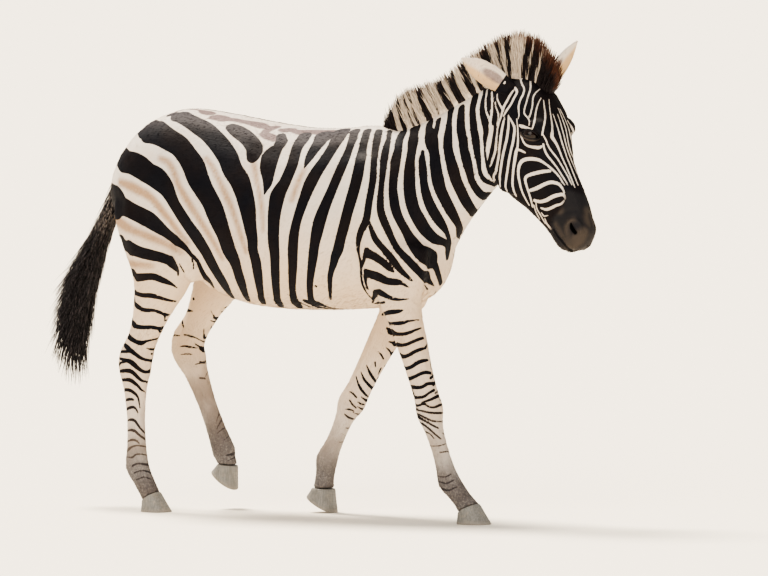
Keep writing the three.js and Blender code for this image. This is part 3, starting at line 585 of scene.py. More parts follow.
# The head is the other way about: pale lines on a dark ground.
faceLines = {
    "cheekEdge": [(513, 91, 2.4), (510, 95.5, 3), (507, 101, 3), (504.2, 106, 3.2), (502.5, 111, 2.8),
        (500.8, 117, 2.4), (498.8, 123, 2.4), (497.3, 128, 2.8), (496.7, 132, 3), (496, 140, 3.3),
        (495.5, 150, 3.3), (492.3, 160, 3.4), (490, 166, 3)],
    "cheekFirst": [(504.5, 118, 2), (503, 125, 3), (501.7, 132, 3.2), (500.5, 140, 3.3),
        (499.3, 150, 3), (498, 160, 3), (496.5, 168, 3), (495, 175, 2.8), (494, 182, 2)],
    "cheekSecond": [(508.5, 116, 2), (508.5, 125, 3), (507.8, 132, 3.4), (506.5, 140, 3.5),
        (504, 150, 3.3), (502, 160, 3.3), (500.5, 170, 3), (499.5, 180, 2.5), (500, 186, 1.8)],
    "cheekThird": [(509, 117, 2), (512, 122, 2.6), (514.5, 128, 3.4), (514, 135, 3.4),
        (513, 142, 3.3), (511, 150, 3), (509, 160, 3), (507.5, 170, 3), (506, 180, 2.8),
        (505.5, 187, 2.2), (507, 191, 1.5)],
    "cheekFourth": [(516.5, 119, 1.3), (517.5, 126, 1.5), (517.8, 132, 2), (518, 140, 2.5),
        (517.5, 147, 3), (516, 152, 4), (514.8, 160, 4), (513.5, 168, 3.3), (512.8, 176, 3),
        (512.5, 184, 3), (513.5, 190, 2.5), (516, 196, 1.5)],
    "cheekFourthTwig": [(518, 149.5, 3), (522, 151, 3), (525, 152.5, 2.3)],
    "archFirst": [(529, 205, 1.5), (525, 198, 2), (521.5, 190, 2.5), (519.5, 182, 3),
        (518.3, 174, 3.3), (518.8, 167, 3.8), (521, 162, 4.8), (525, 159.5, 5), (531, 158.8, 4.8),
        (537, 159.4, 4.4), (540.5, 160.6, 4), (544.2, 163, 3.2), (548, 165.7, 2.8),
        (552.2, 169.2, 2.8), (555.8, 172.7, 2.6), (559.5, 177.2, 2.3), (562, 181.3, 1.9),
        (564.6, 185, 1.3)],
    "archSecond": [(532.5, 207, 1.5), (531, 200, 2.3), (528.5, 192, 2.5), (526, 184, 3),
        (525.2, 178.5, 3.6), (527.5, 175.8, 4), (531.5, 174.2, 4.6), (538, 172.5, 4.8),
        (544, 171.4, 4.6), (550, 171, 3.6)],
    "archThird": [(530.5, 190.3, 4), (536, 188.5, 5), (541, 186, 5), (545, 184, 4.8),
        (551, 182.2, 4.6), (557, 183.2, 4.2), (560.5, 185.8, 3.4), (563, 189.5, 2.6), (564.5, 193, 2)],
    "archFourth": [(534.5, 200.5, 3.7), (540, 201.7, 4.2), (546, 200.3, 5), (552, 197, 5),
        (558, 195, 4.8), (563.5, 194.5, 4), (565.5, 199, 2.4)],
    "archFifth": [(541, 208, 2), (546, 209.5, 3.6), (551, 208, 4), (556, 205.5, 3.6), (561, 204, 3),
        (564, 201, 2.2)],
    "jawFirst": [(536, 203, 1.4), (537, 209, 1.5), (541, 216, 1.5), (545, 223, 1.5)],
    "jawSecond": [(533.5, 205, 1.5), (536, 212, 1.5), (539.5, 219, 1.2)],
    "jawLoop": [(541.5, 213, 1.4), (544, 216, 1.8), (548, 215.5, 1.4)],
    "jawTail": [(545, 219, 1.5), (547, 224, 2), (551, 229, 2)],
    "browPatch": [(519.8, 125.5, 3), (522, 126.5, 4.5), (525, 127.3, 4), (528.5, 128, 3),
        (531, 128.5, 1.6)],
    "underEye": [(521, 133.5, 1.6), (521.8, 137, 2), (523, 141, 2.2), (525.5, 144.5, 2.6),
        (529, 146.3, 3), (534, 147.2, 4), (538.5, 147.6, 4.5), (541.5, 146.5, 3)],
    "pollFirst": [(519.5, 64, 4.6), (521.2, 69, 3.8), (521.6, 75, 3), (520.9, 80, 2.3),
        (522, 84, 2.4), (524.2, 89, 2.4), (523, 94.5, 2.6), (520, 100.5, 2.5), (518.5, 108, 2.4),
        (519, 115, 1.5), (518, 119, 1)],
    "pollSecond": [(534, 66, 2), (532, 73, 2.4), (530.5, 80, 2.5), (530.5, 88, 2.4), (528.5, 95, 2.2),
        (526.5, 102, 2), (524.5, 109, 2), (524.5, 114, 2), (528, 118, 2), (529.5, 122, 1.5),
        (529, 125, 1.4)],
    "browFirst": [(540, 89, 1.2), (535.5, 93, 1.8), (533, 98, 2), (532.5, 105, 2), (531, 112, 2),
        (529.5, 117, 1.8)],
    "browSecond": [(541, 98, 1.2), (538, 104, 1.8), (536, 111, 2), (535, 118, 2.2), (533.5, 125, 2.2),
        (532, 129, 1.4)],
    "browThird": [(543.5, 100, 1), (544.5, 108, 1.9), (545.3, 116, 2.6), (544.5, 123, 2.6),
        (543, 130, 2.4), (542, 135, 2.4)],
    "foreheadFirst": [(549, 99, 0.8), (549.5, 106, 1.2), (550.5, 114, 1.5), (551.7, 122, 2),
        (552.3, 130, 3), (552, 136.5, 4.7), (554.6, 141, 3.8), (557, 145, 3.2), (559.2, 150, 2.6),
        (561.1, 155, 2.2), (563.2, 160, 2), (565.8, 165.6, 1.9), (568.2, 171, 1.9), (570.7, 177, 1.9),
        (573.1, 183, 1.7), (575, 187.5, 1.2)],
    "noseFirst": [(542.5, 134, 1.6), (546, 140, 2), (547.3, 144, 2.2), (549.7, 148.5, 2.2),
        (553, 153, 2.2), (556.2, 157, 2.2), (559.2, 161.5, 2), (562.2, 166.5, 2), (565, 171.5, 1.9),
        (567.6, 176, 1.8), (570.2, 181.5, 1.6), (572, 185, 1.2)],
    "noseSecond": [(543.2, 144, 2.4), (544.3, 148.5, 2.6), (545.6, 152.3, 2.8), (548, 156.2, 2.8),
        (551.2, 160.2, 2.6), (554.8, 164.6, 2.4), (557.8, 168.8, 2.2), (560.8, 173.6, 2.1),
        (563.6, 178, 2), (566.5, 182.5, 1.6), (568, 185, 1.2)],
    "foreheadSecond": [(553, 114, 0.8), (555.5, 121, 1.2), (557.8, 128, 1.7), (559.6, 134, 2),
        (561.2, 140, 2), (563.2, 146.3, 2), (565.2, 152, 1.8), (567, 157.6, 1.7), (569.2, 163, 1.7),
        (571.5, 168.7, 1.7), (573.6, 174, 1.7), (576, 180, 1.6), (578, 185, 1.3)],
    "foreheadThird": [(557.5, 114, 0.9), (560, 121, 1.2), (562, 128.6, 1.6), (563.7, 134.5, 1.7),
        (565.2, 141, 1.7), (567, 148, 1.6), (568.8, 153.2, 1.6), (570.6, 158, 1.4), (573, 164, 1.2),
        (576, 171, 1.2), (579.5, 179, 1)],
    "foreheadFourth": [(558, 108, 0.8), (560.5, 114, 0.9), (563.5, 122, 1.2), (566.2, 130.5, 1.3),
        (567.3, 136.5, 1.4), (568.3, 142.5, 1.4), (569.8, 148.5, 1.4), (571.3, 153.2, 1.3),
        (573.5, 158, 1.1)],
    "foreheadFifth": [(560, 109, 0.8), (563.5, 116, 1), (567, 124, 1.2), (569.3, 131, 1.5),
        (570.8, 138, 1.9), (572.2, 145, 1.9), (573, 151, 1.6)],
    "foreheadEdge": [(567.5, 120.5, 1), (570.8, 126, 2), (573.4, 131, 2.2), (573.6, 137, 1.4)],
    "earPatch": [(511, 75, 6), (514.5, 75.8, 7.5)],
    "earBase": [(515, 88, 3.6), (517, 92, 3), (514, 98, 2.8), (511, 104, 2.6), (507, 110, 2.6),
        (503.5, 116, 2)],
    "earFork": [(497.2, 94, 1.4), (497.4, 99, 2), (499.5, 104, 2.2), (502, 108.5, 2.6)],
    "throatPaleFirst": [(487.5, 89, 1.5), (486.8, 92, 2), (486, 98, 2.2), (485.5, 105, 2.2),
        (486, 110, 2.4), (487.5, 115, 2.6), (489.3, 119, 3), (490.7, 124, 3.2), (490.8, 130, 3)],
    "throatPaleSecond": [(492, 92, 2), (492, 98, 2.4), (492, 105, 2.4), (492, 110, 2.6),
        (491.5, 115, 3), (490.5, 120, 3.4)],
    "throatPaleThird": [(495.2, 102, 1.4), (495.7, 106, 1.6), (497, 110, 1.8), (498.2, 114, 2),
        (498, 119, 2), (497.3, 124, 1.8), (496.8, 127, 1.2)],
}
# Faint tan stripes down the middle of the broad pale bands of the rump and flank.
shadowStripes = {
    "rumpShadow": [(120, 182, 5), (130, 186, 8), (140, 191, 8), (150, 197, 7), (157, 204, 6),
        (163, 212, 6), (169, 219, 5), (174, 226, 5), (180, 234, 4), (188, 243, 3)],
    "thighShadow": [(114, 217, 5), (122, 224, 7), (132, 230, 7), (142, 234, 7), (152, 238, 7),
        (162, 242, 6), (172, 247, 5), (182, 252, 3)],
    "hipShadow": [(160, 158, 4), (168, 162, 5), (174, 172, 5), (178, 184, 5), (184, 195, 6),
        (190, 205, 6), (198, 217, 5), (206, 230, 5), (214, 243, 4), (222, 258, 3)],
    "loinShadow": [(206, 158, 3), (213, 168, 4), (219, 180, 4), (225, 193, 5), (231, 206, 5),
        (236, 220, 4), (241, 236, 4), (246, 252, 3)],
    "flankShadow": [(254, 165, 4), (257, 180, 3), (260, 196, 3), (262, 210, 3), (263, 230, 2)],
    "saddleShadow": [(304, 170, 2.4), (300, 178, 3.4), (296, 188, 3.4), (292, 200, 3)],
    "thighLowShadow": [(126, 262, 3), (134, 264, 5), (143, 265, 5), (153, 266, 3)],
}
# Where along its foot the mane is pale, in the same view's points.
maneWhites = [(398.5, 403.5), (408, 413.5), (416, 419.5), (421.5, 428), (434, 440),
              (441.5, 449), (454.5, 460), (467, 473), (478.5, 482), (486.5, 493), (500, 505.5),
              (507, 509.5), (512.5, 522.5), (527, 528.5), (533.5, 535)]

# Soft brown patches of the bare muzzle's skin, with painted highlights on the nose's front and along
# the upper lip's edge; the nostril's hollow and the mouth line are painted near-black as shade.
muzzleTints = {
    "lipFront": [(570, 247.5, 6), (575, 243.5, 12), (580, 238, 14), (584, 232, 8)],
    "noseFrontHighlight": [(589.5, 211, 3), (592, 217, 5), (593.5, 223, 5)],
    "nostrilRing": [(569, 238, 3), (566, 230, 4), (568, 223, 3), (573, 219.5, 3.4)],
    "lipEdgeHighlight": [(555.5, 224, 1.8), (559, 230, 2.6), (562.5, 236, 3.2), (567.5, 242, 5)],
    "mouthCorner": [(552, 205, 4), (556, 208, 6), (560, 211, 5)],
}
# The nostril's hollow and the mouth line are painted near-black as shade.
nostrilHollow = [(571.2, 224.5, 3.2), (572, 228.5, 4.6), (575.3, 232.5, 4.8)]
mouthLine = [(553.5, 229.5, 0.8), (557, 235.5, 1.3), (561.5, 241, 1.5), (566, 246.3, 1.5),
             (570.5, 250.6, 1.5), (574, 252.8, 1)]
# Brown-grey smudges along the back, beside the dorsal line.
backSmudges = {
    "smudgeFirst": [(176, 112, 4), (184, 108.5, 4), (192, 109.3, 4), (199, 110, 4.4), (207, 112.5, 6),
                    (211, 113.5, 5)],
    "smudgeSecond": [(213, 117.5, 4), (218, 117.3, 6), (224, 118.5, 6)],
    "smudgeThird": [(226, 119, 3.6), (234, 119.6, 3.6), (241, 121, 3.6), (247, 122, 4)],
    "smudgeFourth": [(247, 122, 4), (254, 123.5, 5), (261, 125, 6), (266, 127, 4)],
    "smudgeFifth": [(266, 131, 5), (271, 128.5, 5), (277, 127, 4)],
    "smudgeSixth": [(281, 130, 3), (287, 130, 5), (293, 129.6, 4)],
    "smudgeSeventh": [(296, 131.5, 4), (304, 132, 6), (312, 131.5, 5), (320, 132, 6), (330, 132, 6)],
    "smudgeEighth": [(262, 134, 4), (268, 136, 7), (276, 139, 6)],
    "smudgeNinth": [(186, 116, 6), (196, 121, 5), (206, 124, 4)],
}
# Where the rump's stripes go on, round the back of the thigh to the tail (metres).
rumpReach = {
    "croupFirst": (-0.925, -0.03, 1.262), "croupSecond": (-0.972, -0.035, 1.17),
    "buttockFirst": (-0.965, -0.03, 1.06), "buttockSecond": (-0.955, -0.03, 0.93),
    "thighFirst": (-0.90, -0.03, 0.82),
}
# The side view: lens and middle in picture points, and a point's size at the animal in metres.
sideView = {"lens": shot["lens"] / shot["sensor"] * shot["width"],
            "middle": (shot["width"] / 2, shot["height"] / 2), "pointSize": 0.003246}


def viewAxes():
    right, up, back = (np.array(v) for v in cameraAxes())
    return right, up, back, np.array(shot["aim"]) + back * shot["distance"]


def viewRay(across, down):
    right, up, back, eye = viewAxes()
    middle = sideView["middle"]
    way = right * (across - middle[0]) + up * (middle[1] - down) - back * sideView["lens"]
    return eye, way / np.linalg.norm(way)


def inView(points):  # where a point shows in the side view
    right, up, back, eye = viewAxes()
    rel = points - eye
    depth = -rel @ back
    return (sideView["middle"][0] + sideView["lens"] * (rel @ right) / depth,
            sideView["middle"][1] - sideView["lens"] * (rel @ up) / depth)


# How the stripes are laid: the least width read (picture points), how far a surface point may be
# off its ray and still be seen, how dark stripes go on at the throat, and heights in metres.
stripePlan = {"leastWidth": 0.9, "seenWithin": 0.006, "throatSteps": 5, "throatStep": 0.009,
              "throatTaper": 0.96, "wrapSteps": 3, "wrapBelow": 0.64, "foreBelow": 0.68,
              "rumpSteps": 10, "rumpTaper": 0.45, "faceWidth": 0.74, "dorsalHalf": 0.0065,
              "limit": 0.02, "far": -0.05, "margin": 0.012}


def smoothLine(stations, step):  # a curve through the stations, with a point about every step
    rows = np.array(stations, dtype=float)
    padded = np.vstack([2 * rows[0] - rows[1], rows, 2 * rows[-1] - rows[-2]])
    made = []
    for i in range(len(rows) - 1):
        a, b, c, d = padded[i:i + 4]
        count = max(2, int(np.linalg.norm(c[:2] - b[:2]) / step))
        for t in np.arange(count) / count:
            made.append(0.5 * (2 * b + (c - a) * t + (2 * a - 5 * b + 4 * c - d) * t * t
                               + (3 * b - a - 3 * c + d) * t ** 3))
    made.append(rows[-1])
    return np.array(made)


def layOnSkin(tree, stations):  # the stripe's middle line on the skin, and its half width
    width = np.median([s[2] for s in stations])
    line = smoothLine(stations, min(3.0, max(1.2, width * 0.5)))
    turn = np.gradient(line[:, :2], axis=0)
    across = np.stack([-turn[:, 1], turn[:, 0]], axis=1)
    across /= np.maximum(np.linalg.norm(across, axis=1, keepdims=True), 1e-6)
    rays = [viewRay(u, v) for u, v, w in line]
    hits = [tree.ray_cast(Vector(eye), Vector(way))[0] for eye, way in rays]
    found = [i for i, hit in enumerate(hits) if hit is not None]
    laid = []
    for i, ((u, v, w), side, (eye, way)) in enumerate(zip(line, across, rays)):
        w = max(w, stripePlan["leastWidth"])
        middle = hits[i]
        if middle is None:
            depth = shot["distance"]
            if found:
                depth = (hits[min(found, key=lambda k: abs(k - i))] - Vector(eye)).length
            middle = tree.find_nearest(Vector(eye + way * depth))[0]
        flat = w / 2 * sideView["pointSize"]
        edges = [tree.ray_cast(Vector(eye), Vector(viewRay(u + side[0] * k * w / 2,
                                                           v + side[1] * k * w / 2)[1]))[0]
                 for k in (-1, 1)]
        half = flat * 1.15
        if hits[i] is not None and None not in edges:
            half = min((edges[0] - edges[1]).length / 2, flat * 2.2)
        laid.append([*middle, half])
    return np.array(laid)


def goOn(tree, laid, steps, step=0.010, taper=0.75, pull=(0, 0, 0)):  # on past the line's end
    rows = [laid[-1]]
    way = unit(laid[-1, :3] - laid[-min(len(laid), 4), :3])
    for index in range(steps):
        way = unit(way + pull)
        near = np.array(tree.find_nearest(Vector(rows[-1][:3] + way * step))[0])
        way = unit(near - rows[-1][:3])
        rows.append(np.array([*near, rows[-1][3] * taper]))
    return np.vstack([laid, rows[1:]])


def seen(tree, spot):  # true where the side view shows this point of the skin
    eye, way = viewRay(*(value.item() for value in inView(spot[None])))
    hit = tree.ray_cast(Vector(eye), Vector(way))[0]
    return hit is not None and (hit - Vector(spot)).length < stripePlan["seenWithin"]


def wrapped(tree, laid):  # a leg's band goes a little round the leg where it leaves the view
    if laid[:, 2].mean() > stripePlan["wrapBelow"]:
        return laid
    for end in range(2):
        longer = goOn(tree, laid, stripePlan["wrapSteps"])
        if not seen(tree, longer[-1, :3]):
            laid = longer
        laid = laid[::-1]
    return laid


def hiddenParts(tree, lines):  # the runs of these lines that the side view doesn't show
    runs = []
    for line in lines:
        hidden = [not seen(tree, spot[:3]) for spot in line] + [False]
        start = None
        for index, isHidden in enumerate(hidden):
            if isHidden and start is None:
                start = index
            if not isHidden and start is not None:
                if index - start > 1:
                    runs.append(line[start:index])
                start = None
    return runs


def stripeField(points, lines):  # how deep inside the nearest stripe, in metres
    depth = np.full(len(points), stripePlan["far"])
    for line in lines:
        reach = line[:, 3].max() + stripePlan["margin"]
        low = line[:, :3].min(axis=0) - reach
        high = line[:, :3].max(axis=0) + reach
        near = np.nonzero(((points > low) & (points < high)).all(axis=1))[0]
        if not len(near):
            continue
        spot = points[near]
        best = np.full(len(near), stripePlan["far"])
        for a, b in zip(line[:-1], line[1:]):
            along = b[:3] - a[:3]
            t = np.clip((spot - a[:3]) @ along / max(along @ along, 1e-12), 0, 1)
            gap = np.linalg.norm(spot - a[:3] - t[:, None] * along, axis=1)
            best = np.maximum(best, a[3] + (b[3] - a[3]) * t - gap)
        depth[near] = np.maximum(depth[near], best)
    return depth


# The legs' own bones, from the top down (x, z), and how far out each leg stands.
bones = {
    "rightFore": ([(0.150, 0.900), (0.138, 0.722), (0.252, 0.366), (0.330, 0.138), (0.423, 0)],
                  -0.118),
    "leftFore": ([(0.060, 0.900), (0.010, 0.722), (-0.207, 0.366), (-0.306, 0.172),
                  (-0.330, 0.025)], 0.118),
    "rightHind": ([(-0.800, 1.090), (-0.802, 0.770), (-0.905, 0.500), (-0.900, 0.150),
                   (-0.826, 0)], -0.122),
    "leftHind": ([(-0.780, 1.090), (-0.716, 0.792), (-0.868, 0.540), (-0.722, 0.190),
                  (-0.722, 0.092)], 0.122),
}


def moveBetweenLegs(lines, source, target):  # from one leg's bones to the other's
    fromBones, fromSide = bones[source]
    toBones, toSide = bones[target]
    fromBones, toBones = np.array(fromBones), np.array(toBones)
    moved = []
    for line in lines:
        flat = line[:, [0, 2]]
        best = np.full(len(line), 9.0)
        place = np.zeros((len(line), 2))
        for i in range(len(fromBones) - 1):
            along = fromBones[i + 1] - fromBones[i]
            t = np.clip((flat - fromBones[i]) @ along / (along @ along), 0, 1)
            rest = flat - fromBones[i] - t[:, None] * along
            gap = np.linalg.norm(rest, axis=1)
            there = toBones[i + 1] - toBones[i]
            turn = math.atan2(there[1], there[0]) - math.atan2(along[1], along[0])
            spun = rest @ np.array([[math.cos(turn), math.sin(turn)],
                                    [-math.sin(turn), math.cos(turn)]])
            better = gap < best
            best = np.where(better, gap, best)
            place = np.where(better[:, None], toBones[i] + t[:, None] * there + spun, place)
        y = toSide - (line[:, 1] - fromSide)
        moved.append(np.stack([place[:, 0], y, place[:, 1], line[:, 3]], axis=1))
    return moved


def snapped(tree, lines):
    done = []
    for line in lines:
        near = np.array([tree.find_nearest(Vector(p[:3]))[0] for p in line])
        done.append(np.column_stack([near, line[:, 3]]))
    return done


def mirrored(lines):
    return [line * (1, -1, 1, 1) for line in lines]


def layStripes(tree):
    trunk = {}
    for name, stations in trunkStripes.items():
        line = layOnSkin(tree, stations)
        if name in rumpReach:
            line = line[::-1]
            start, goal, count = line[-1], np.array(rumpReach[name]), stripePlan["rumpSteps"]
            steps = [start[:3] + (goal - start[:3]) * t for t in np.linspace(0.1, 1, count)]
            half = line[-4:, 3].mean()
            more = [[*tree.find_nearest(Vector(p))[0], half * (1 - stripePlan["rumpTaper"] * k / count)]
                    for k, p in enumerate(steps)]
            line = np.vstack([line, more])
        elif name.startswith(("neck", "throat")) and not name.endswith("Twig"):
            line = goOn(tree, line, stripePlan["throatSteps"], stripePlan["throatStep"],
                        stripePlan["throatTaper"], (0, 0.9, 0))
        trunk[name] = line
    near = list(trunk.values())
    hind = [wrapped(tree, layOnSkin(tree, s)) for s in hindBands.values()]
    fore = [wrapped(tree, layOnSkin(tree, s)) for s in foreBands.values()]
    innerHind = [layOnSkin(tree, s) for s in hindInner.values()]
    innerFore = [layOnSkin(tree, s) for s in foreInner.values()]
    low = np.array([line[:, 2].mean() for line in fore]) < stripePlan["foreBelow"]
    foreLow = [line for line, isLow in zip(fore, low) if isLow]
    foreHigh = [line for line, isLow in zip(fore, low) if not isLow]
    dark = near + hind + fore + innerHind + innerFore
    dark += hiddenParts(tree, snapped(tree, mirrored(near + foreHigh)))
    for bands, source, target in ((hind, "rightHind", "leftHind"), (foreLow, "rightFore", "leftFore"),
                                  (innerHind, "leftHind", "rightHind"),
                                  (innerFore, "leftFore", "rightFore")):
        dark += snapped(tree, moveBetweenLegs(bands, source, target))
    spine = [[x, 0, 1.5] for x in np.arange(-0.93, -0.005, 0.02)]
    dorsal = [[*tree.ray_cast(Vector(p), Vector((0, 0, -1)))[0], stripePlan["dorsalHalf"]]
              for p in spine]
    dark.append(np.array(dorsal))
    pale = [layOnSkin(tree, s) * (1, 1, 1, stripePlan["faceWidth"]) for s in faceLines.values()]
    pale += hiddenParts(tree, snapped(tree, mirrored(pale)))
    shadow = [layOnSkin(tree, s) for s in shadowStripes.values()]
    shadow += snapped(tree, mirrored(shadow))
    smudge = [layOnSkin(tree, s) for s in backSmudges.values()]
    smudge += snapped(tree, mirrored(smudge))
    tints = [layOnSkin(tree, s) for s in muzzleTints.values()]
    hollowShade = [layOnSkin(tree, nostrilHollow), layOnSkin(tree, mouthLine)]
    return dark, pale, shadow, smudge, tints + mirrored(tints), hollowShade + mirrored(hollowShade)


# The skin is split where a straight line between two points would lose part of a stripe: the
# least loss that counts at each pass, on the body and on the head, and the shortest edge split.
meshPlan = {"passes": ((0.0012, 0.0009), (0.0012, 0.0007), (0.0012, 0.0006)),
            "shortest": (0.0028, 0.0014)}


def fitMesh(points, faces, stripes):
    for onBody, onHead in meshPlan["passes"]:
        field = darkField(points, stripes)

        def choose(ends):
            middle = points[ends].mean(axis=1)
            head = headShare(middle) > 0.5
            length = np.linalg.norm(points[ends[:, 0]] - points[ends[:, 1]], axis=1)
            true = darkField(middle, stripes)
            guess = field[ends].mean(axis=1)
            lost = np.where((true > 0) != (guess > 0), np.abs(true - guess), 0)
            return (lost > np.where(head, onHead, onBody)) \
                & (length > np.where(head, meshPlan["shortest"][1], meshPlan["shortest"][0]))

        points, faces = refine(points, faces, choose)
        print("skin refined", len(faces), "triangles")
    return points, faces


# Borders read in the side view: the cheek's edge and the muzzle's back edge as (down, across), and
# the muzzle's upper edge as (across, down).
headBorders = {
    "cheek": [(60, 505), (72, 505), (84, 506), (86, 483.5), (100, 482), (110, 482), (120, 484.5),
              (124, 487), (126, 497.5), (132, 496.7), (140, 496), (150, 495.5), (160, 492.3),
              (166, 490), (176, 492.5), (188, 494)],
    "muzzleBack": [(188, 565), (196, 563.5), (205, 561.5), (210, 559), (214, 555), (218, 551),
                   (226, 550), (234, 546)],
    "muzzleTop": [(556, 192), (566, 188.5), (572, 189.5), (580, 191.5), (590, 198)],
}


def faceShare(points):  # 1 where the head's dark ground with pale lines begins
    flat = points * (1, -1, 1)
    flat[:, 1] = -np.abs(points[:, 1])
    u, v = inView(flat)
    inside = (u > np.interp(v, *zip(*headBorders["cheek"]))) & (points[:, 0] > 0.40) \
        & (points[:, 2] > 0.80)
    return inside.astype(float), u, v


def limited(field):
    return np.clip(field, -stripePlan["limit"], stripePlan["limit"])


def darkField(points, stripes):  # how deep in the dark: body stripes, and between the face's lines
    dark, pale = stripes[:2]
    return limited(np.where(faceShare(points)[0] > 0, -stripeField(points, pale),
                            stripeField(points, dark)))


def coatMarks(points, normals, stripes):  # every mark of the coat at these points
    shadow, smudge, tints, hollowShade = stripes[2:]
    inside, u, v = faceShare(points)
    x, y, z = points.T
    left = u - np.interp(v, *zip(*headBorders["muzzleBack"]))
    below = v - np.interp(u, *zip(*headBorders["muzzleTop"]))
    muzzle = smoothStep(-1.5, 4.5, np.minimum(left, below)) * inside
    # Brown patches on the muzzle, with painted highlights on the nose's front and along the upper lip's
    # edge.
    lips = smoothStep(14, 40, 0.45 * (u - 566) + 0.8 * (v - 215)) * 0.5
    lips = np.maximum(lips, smoothStep(-0.014, 0.010, stripeField(points, tints))) * inside
    # Painted sheen: on the back behind the withers, where the skin faces up, the dark stripes are
    # greyed as if catching the light.
    back = smoothStep(0.62, 0.93, normals[:, 2]) * smoothStep(0.05, -0.1, x) \
        * smoothStep(1.15, 1.22, z)
    leftHind = (x > -0.93) & (x < -0.60) & (y > 0.02)
    dust = np.where(leftHind, smoothStep(0.56, 0.36, z), smoothStep(0.42, 0.16, z))
    soot = np.where(leftHind, smoothStep(0.38, 0.20, z), smoothStep(0.24, 0.12, z))
    cream = smoothStep(1.1, 0.72, z) * smoothStep(0.12, 0.62, z) * 0.55
    # The nostril's hollow and the mouth line get a mark of painted near-black shade.
    return {"dark": darkField(points, stripes), "shadow": limited(stripeField(points, shadow)),
            "smudge": limited(stripeField(points, smudge)), "muzzle": muzzle,
            "lips": lips, "hollowShade": smoothStep(-0.002, 0.002, stripeField(points, hollowShade)),
            "back": back, "dust": dust, "soot": soot, "cream": cream}


def writeMarks(mesh, marks):
    for name, values in marks.items():
        layer = mesh.attributes.new(name, "FLOAT", "POINT")
        layer.data.foreach_set("value", np.ascontiguousarray(values, dtype=np.float32))


# Short summer coat over the skin: flat hair that lies back and down, pale ground, dark stripes, greyed
# by painted sheen on top of the back.
coatLook = {"pale": "#d3ccc5", "cream": "#cdb08c", "dark": "#15161e", "darkWarm": "#1f191b",
            "shadow": "#a98e75", "smudge": "#7b6a69", "muzzle": "#2b2a2d", "lips": "#4b443f",
            "dust": "#74675f", "soot": "#3f3f45", "paintedSheen": "#403b40", "hollowShade": "#060607",
            "edge": 0.0012, "ragged": 0.0022, "hairGap": 0.0035, "hairLength": 0.03,
            "shader": {"Roughness": 0.6, "Specular IOR Level": 0.15}}


def coatColour(tree):  # the marks' colours, with fine noise that moves the stripes' edges
    place = put(tree, "place")
    fine = put(tree, "noise", place, 160.0, 4.0, 0.65)
    broad = put(tree, "noise", place, 9.0, 3.0)
    shift = put(tree, "times", put(tree, "subtract", fine, 0.5), coatLook["ragged"])
    worn = {name: put(tree, "mark", attribute_name=name)
            for name in ("cream", "shadow", "smudge", "back", "dark", "dust", "soot", "lips",
                         "muzzle", "hollowShade")}

    def cover(under, name, share, noise, low, high, strength=1.0):  # broken up by the noise
        share = put(tree, "times", share, put(tree, "ramp", noise, low, high))
        return put(tree, "mix", put(tree, "times", share, strength), under, coatLook[name])

    ground = put(tree, "mix", worn["cream"], coatLook["pale"], coatLook["cream"])
    ground = cover(ground, "cream", 1.0, broad, 0.35, 0.8, 0.25)
    shade = put(tree, "ramp", worn["shadow"], -0.013, 0.010)
    ground = cover(ground, "shadow", shade, fine, -0.35, 0.6)
    blot = put(tree, "ramp", put(tree, "add", worn["smudge"], shift), -0.0045, 0.004)
    ground = cover(ground, "smudge", blot, fine, -0.1, 0.5)
    warm = put(tree, "ramp", broad, 0.3, 0.7)
    night = put(tree, "mix", warm, coatLook["dark"], coatLook["darkWarm"])
    # Painted sheen: the dark goes grey on top of the back, broken by fine noise.
    night = cover(night, "paintedSheen", worn["back"], fine, 0.15, 0.6)
    edge = coatLook["edge"]
    black = put(tree, "ramp", put(tree, "add", worn["dark"], shift), -edge, edge)
    colour = put(tree, "mix", black, ground, night)
    colour = cover(colour, "dust", worn["dust"], broad, 0.1, 0.6, 0.72)
    colour = cover(colour, "soot", worn["soot"], fine, 0.05, 0.6, 0.7)
    # The muzzle's brown patches, partly painted highlights.
    muzzle = cover(coatLook["muzzle"], "lips", worn["lips"], broad, 0.1, 0.55)
    colour = put(tree, "mix", worn["muzzle"], colour, muzzle)
    # Painted shade: the nostril's hollow and the mouth line go near-black.
    return put(tree, "mix", worn["hollowShade"], colour, coatLook["hollowShade"])


def hairBump(tree):  # fine streaks that run along the body and down the legs
    gap, length = coatLook["hairGap"], coatLook["hairLength"]
    streaks = [strands(tree, scale, 3.0, 0.6) for scale in ((1 / length, 1 / gap, 1 / gap),
                                                            (1 / gap, 1 / gap, 1 / length))]
    downward = put(tree, "mark", attribute_name="cream")
    mixed = addNode(tree, "ShaderNodeMix", {0: downward, 2: streaks[0], 3: streaks[1]})
    return put(tree, "bump", mixed.outputs[0], 0.35, 0.002)


def makeCoatMaterial(name, bumped):
    material, tree, shader = newMaterial(name, coatLook["shader"])
    tree.links.new(coatColour(tree), shader.inputs["Base Color"])
    if bumped:
        tree.links.new(hairBump(tree), shader.inputs["Normal"])
    return material


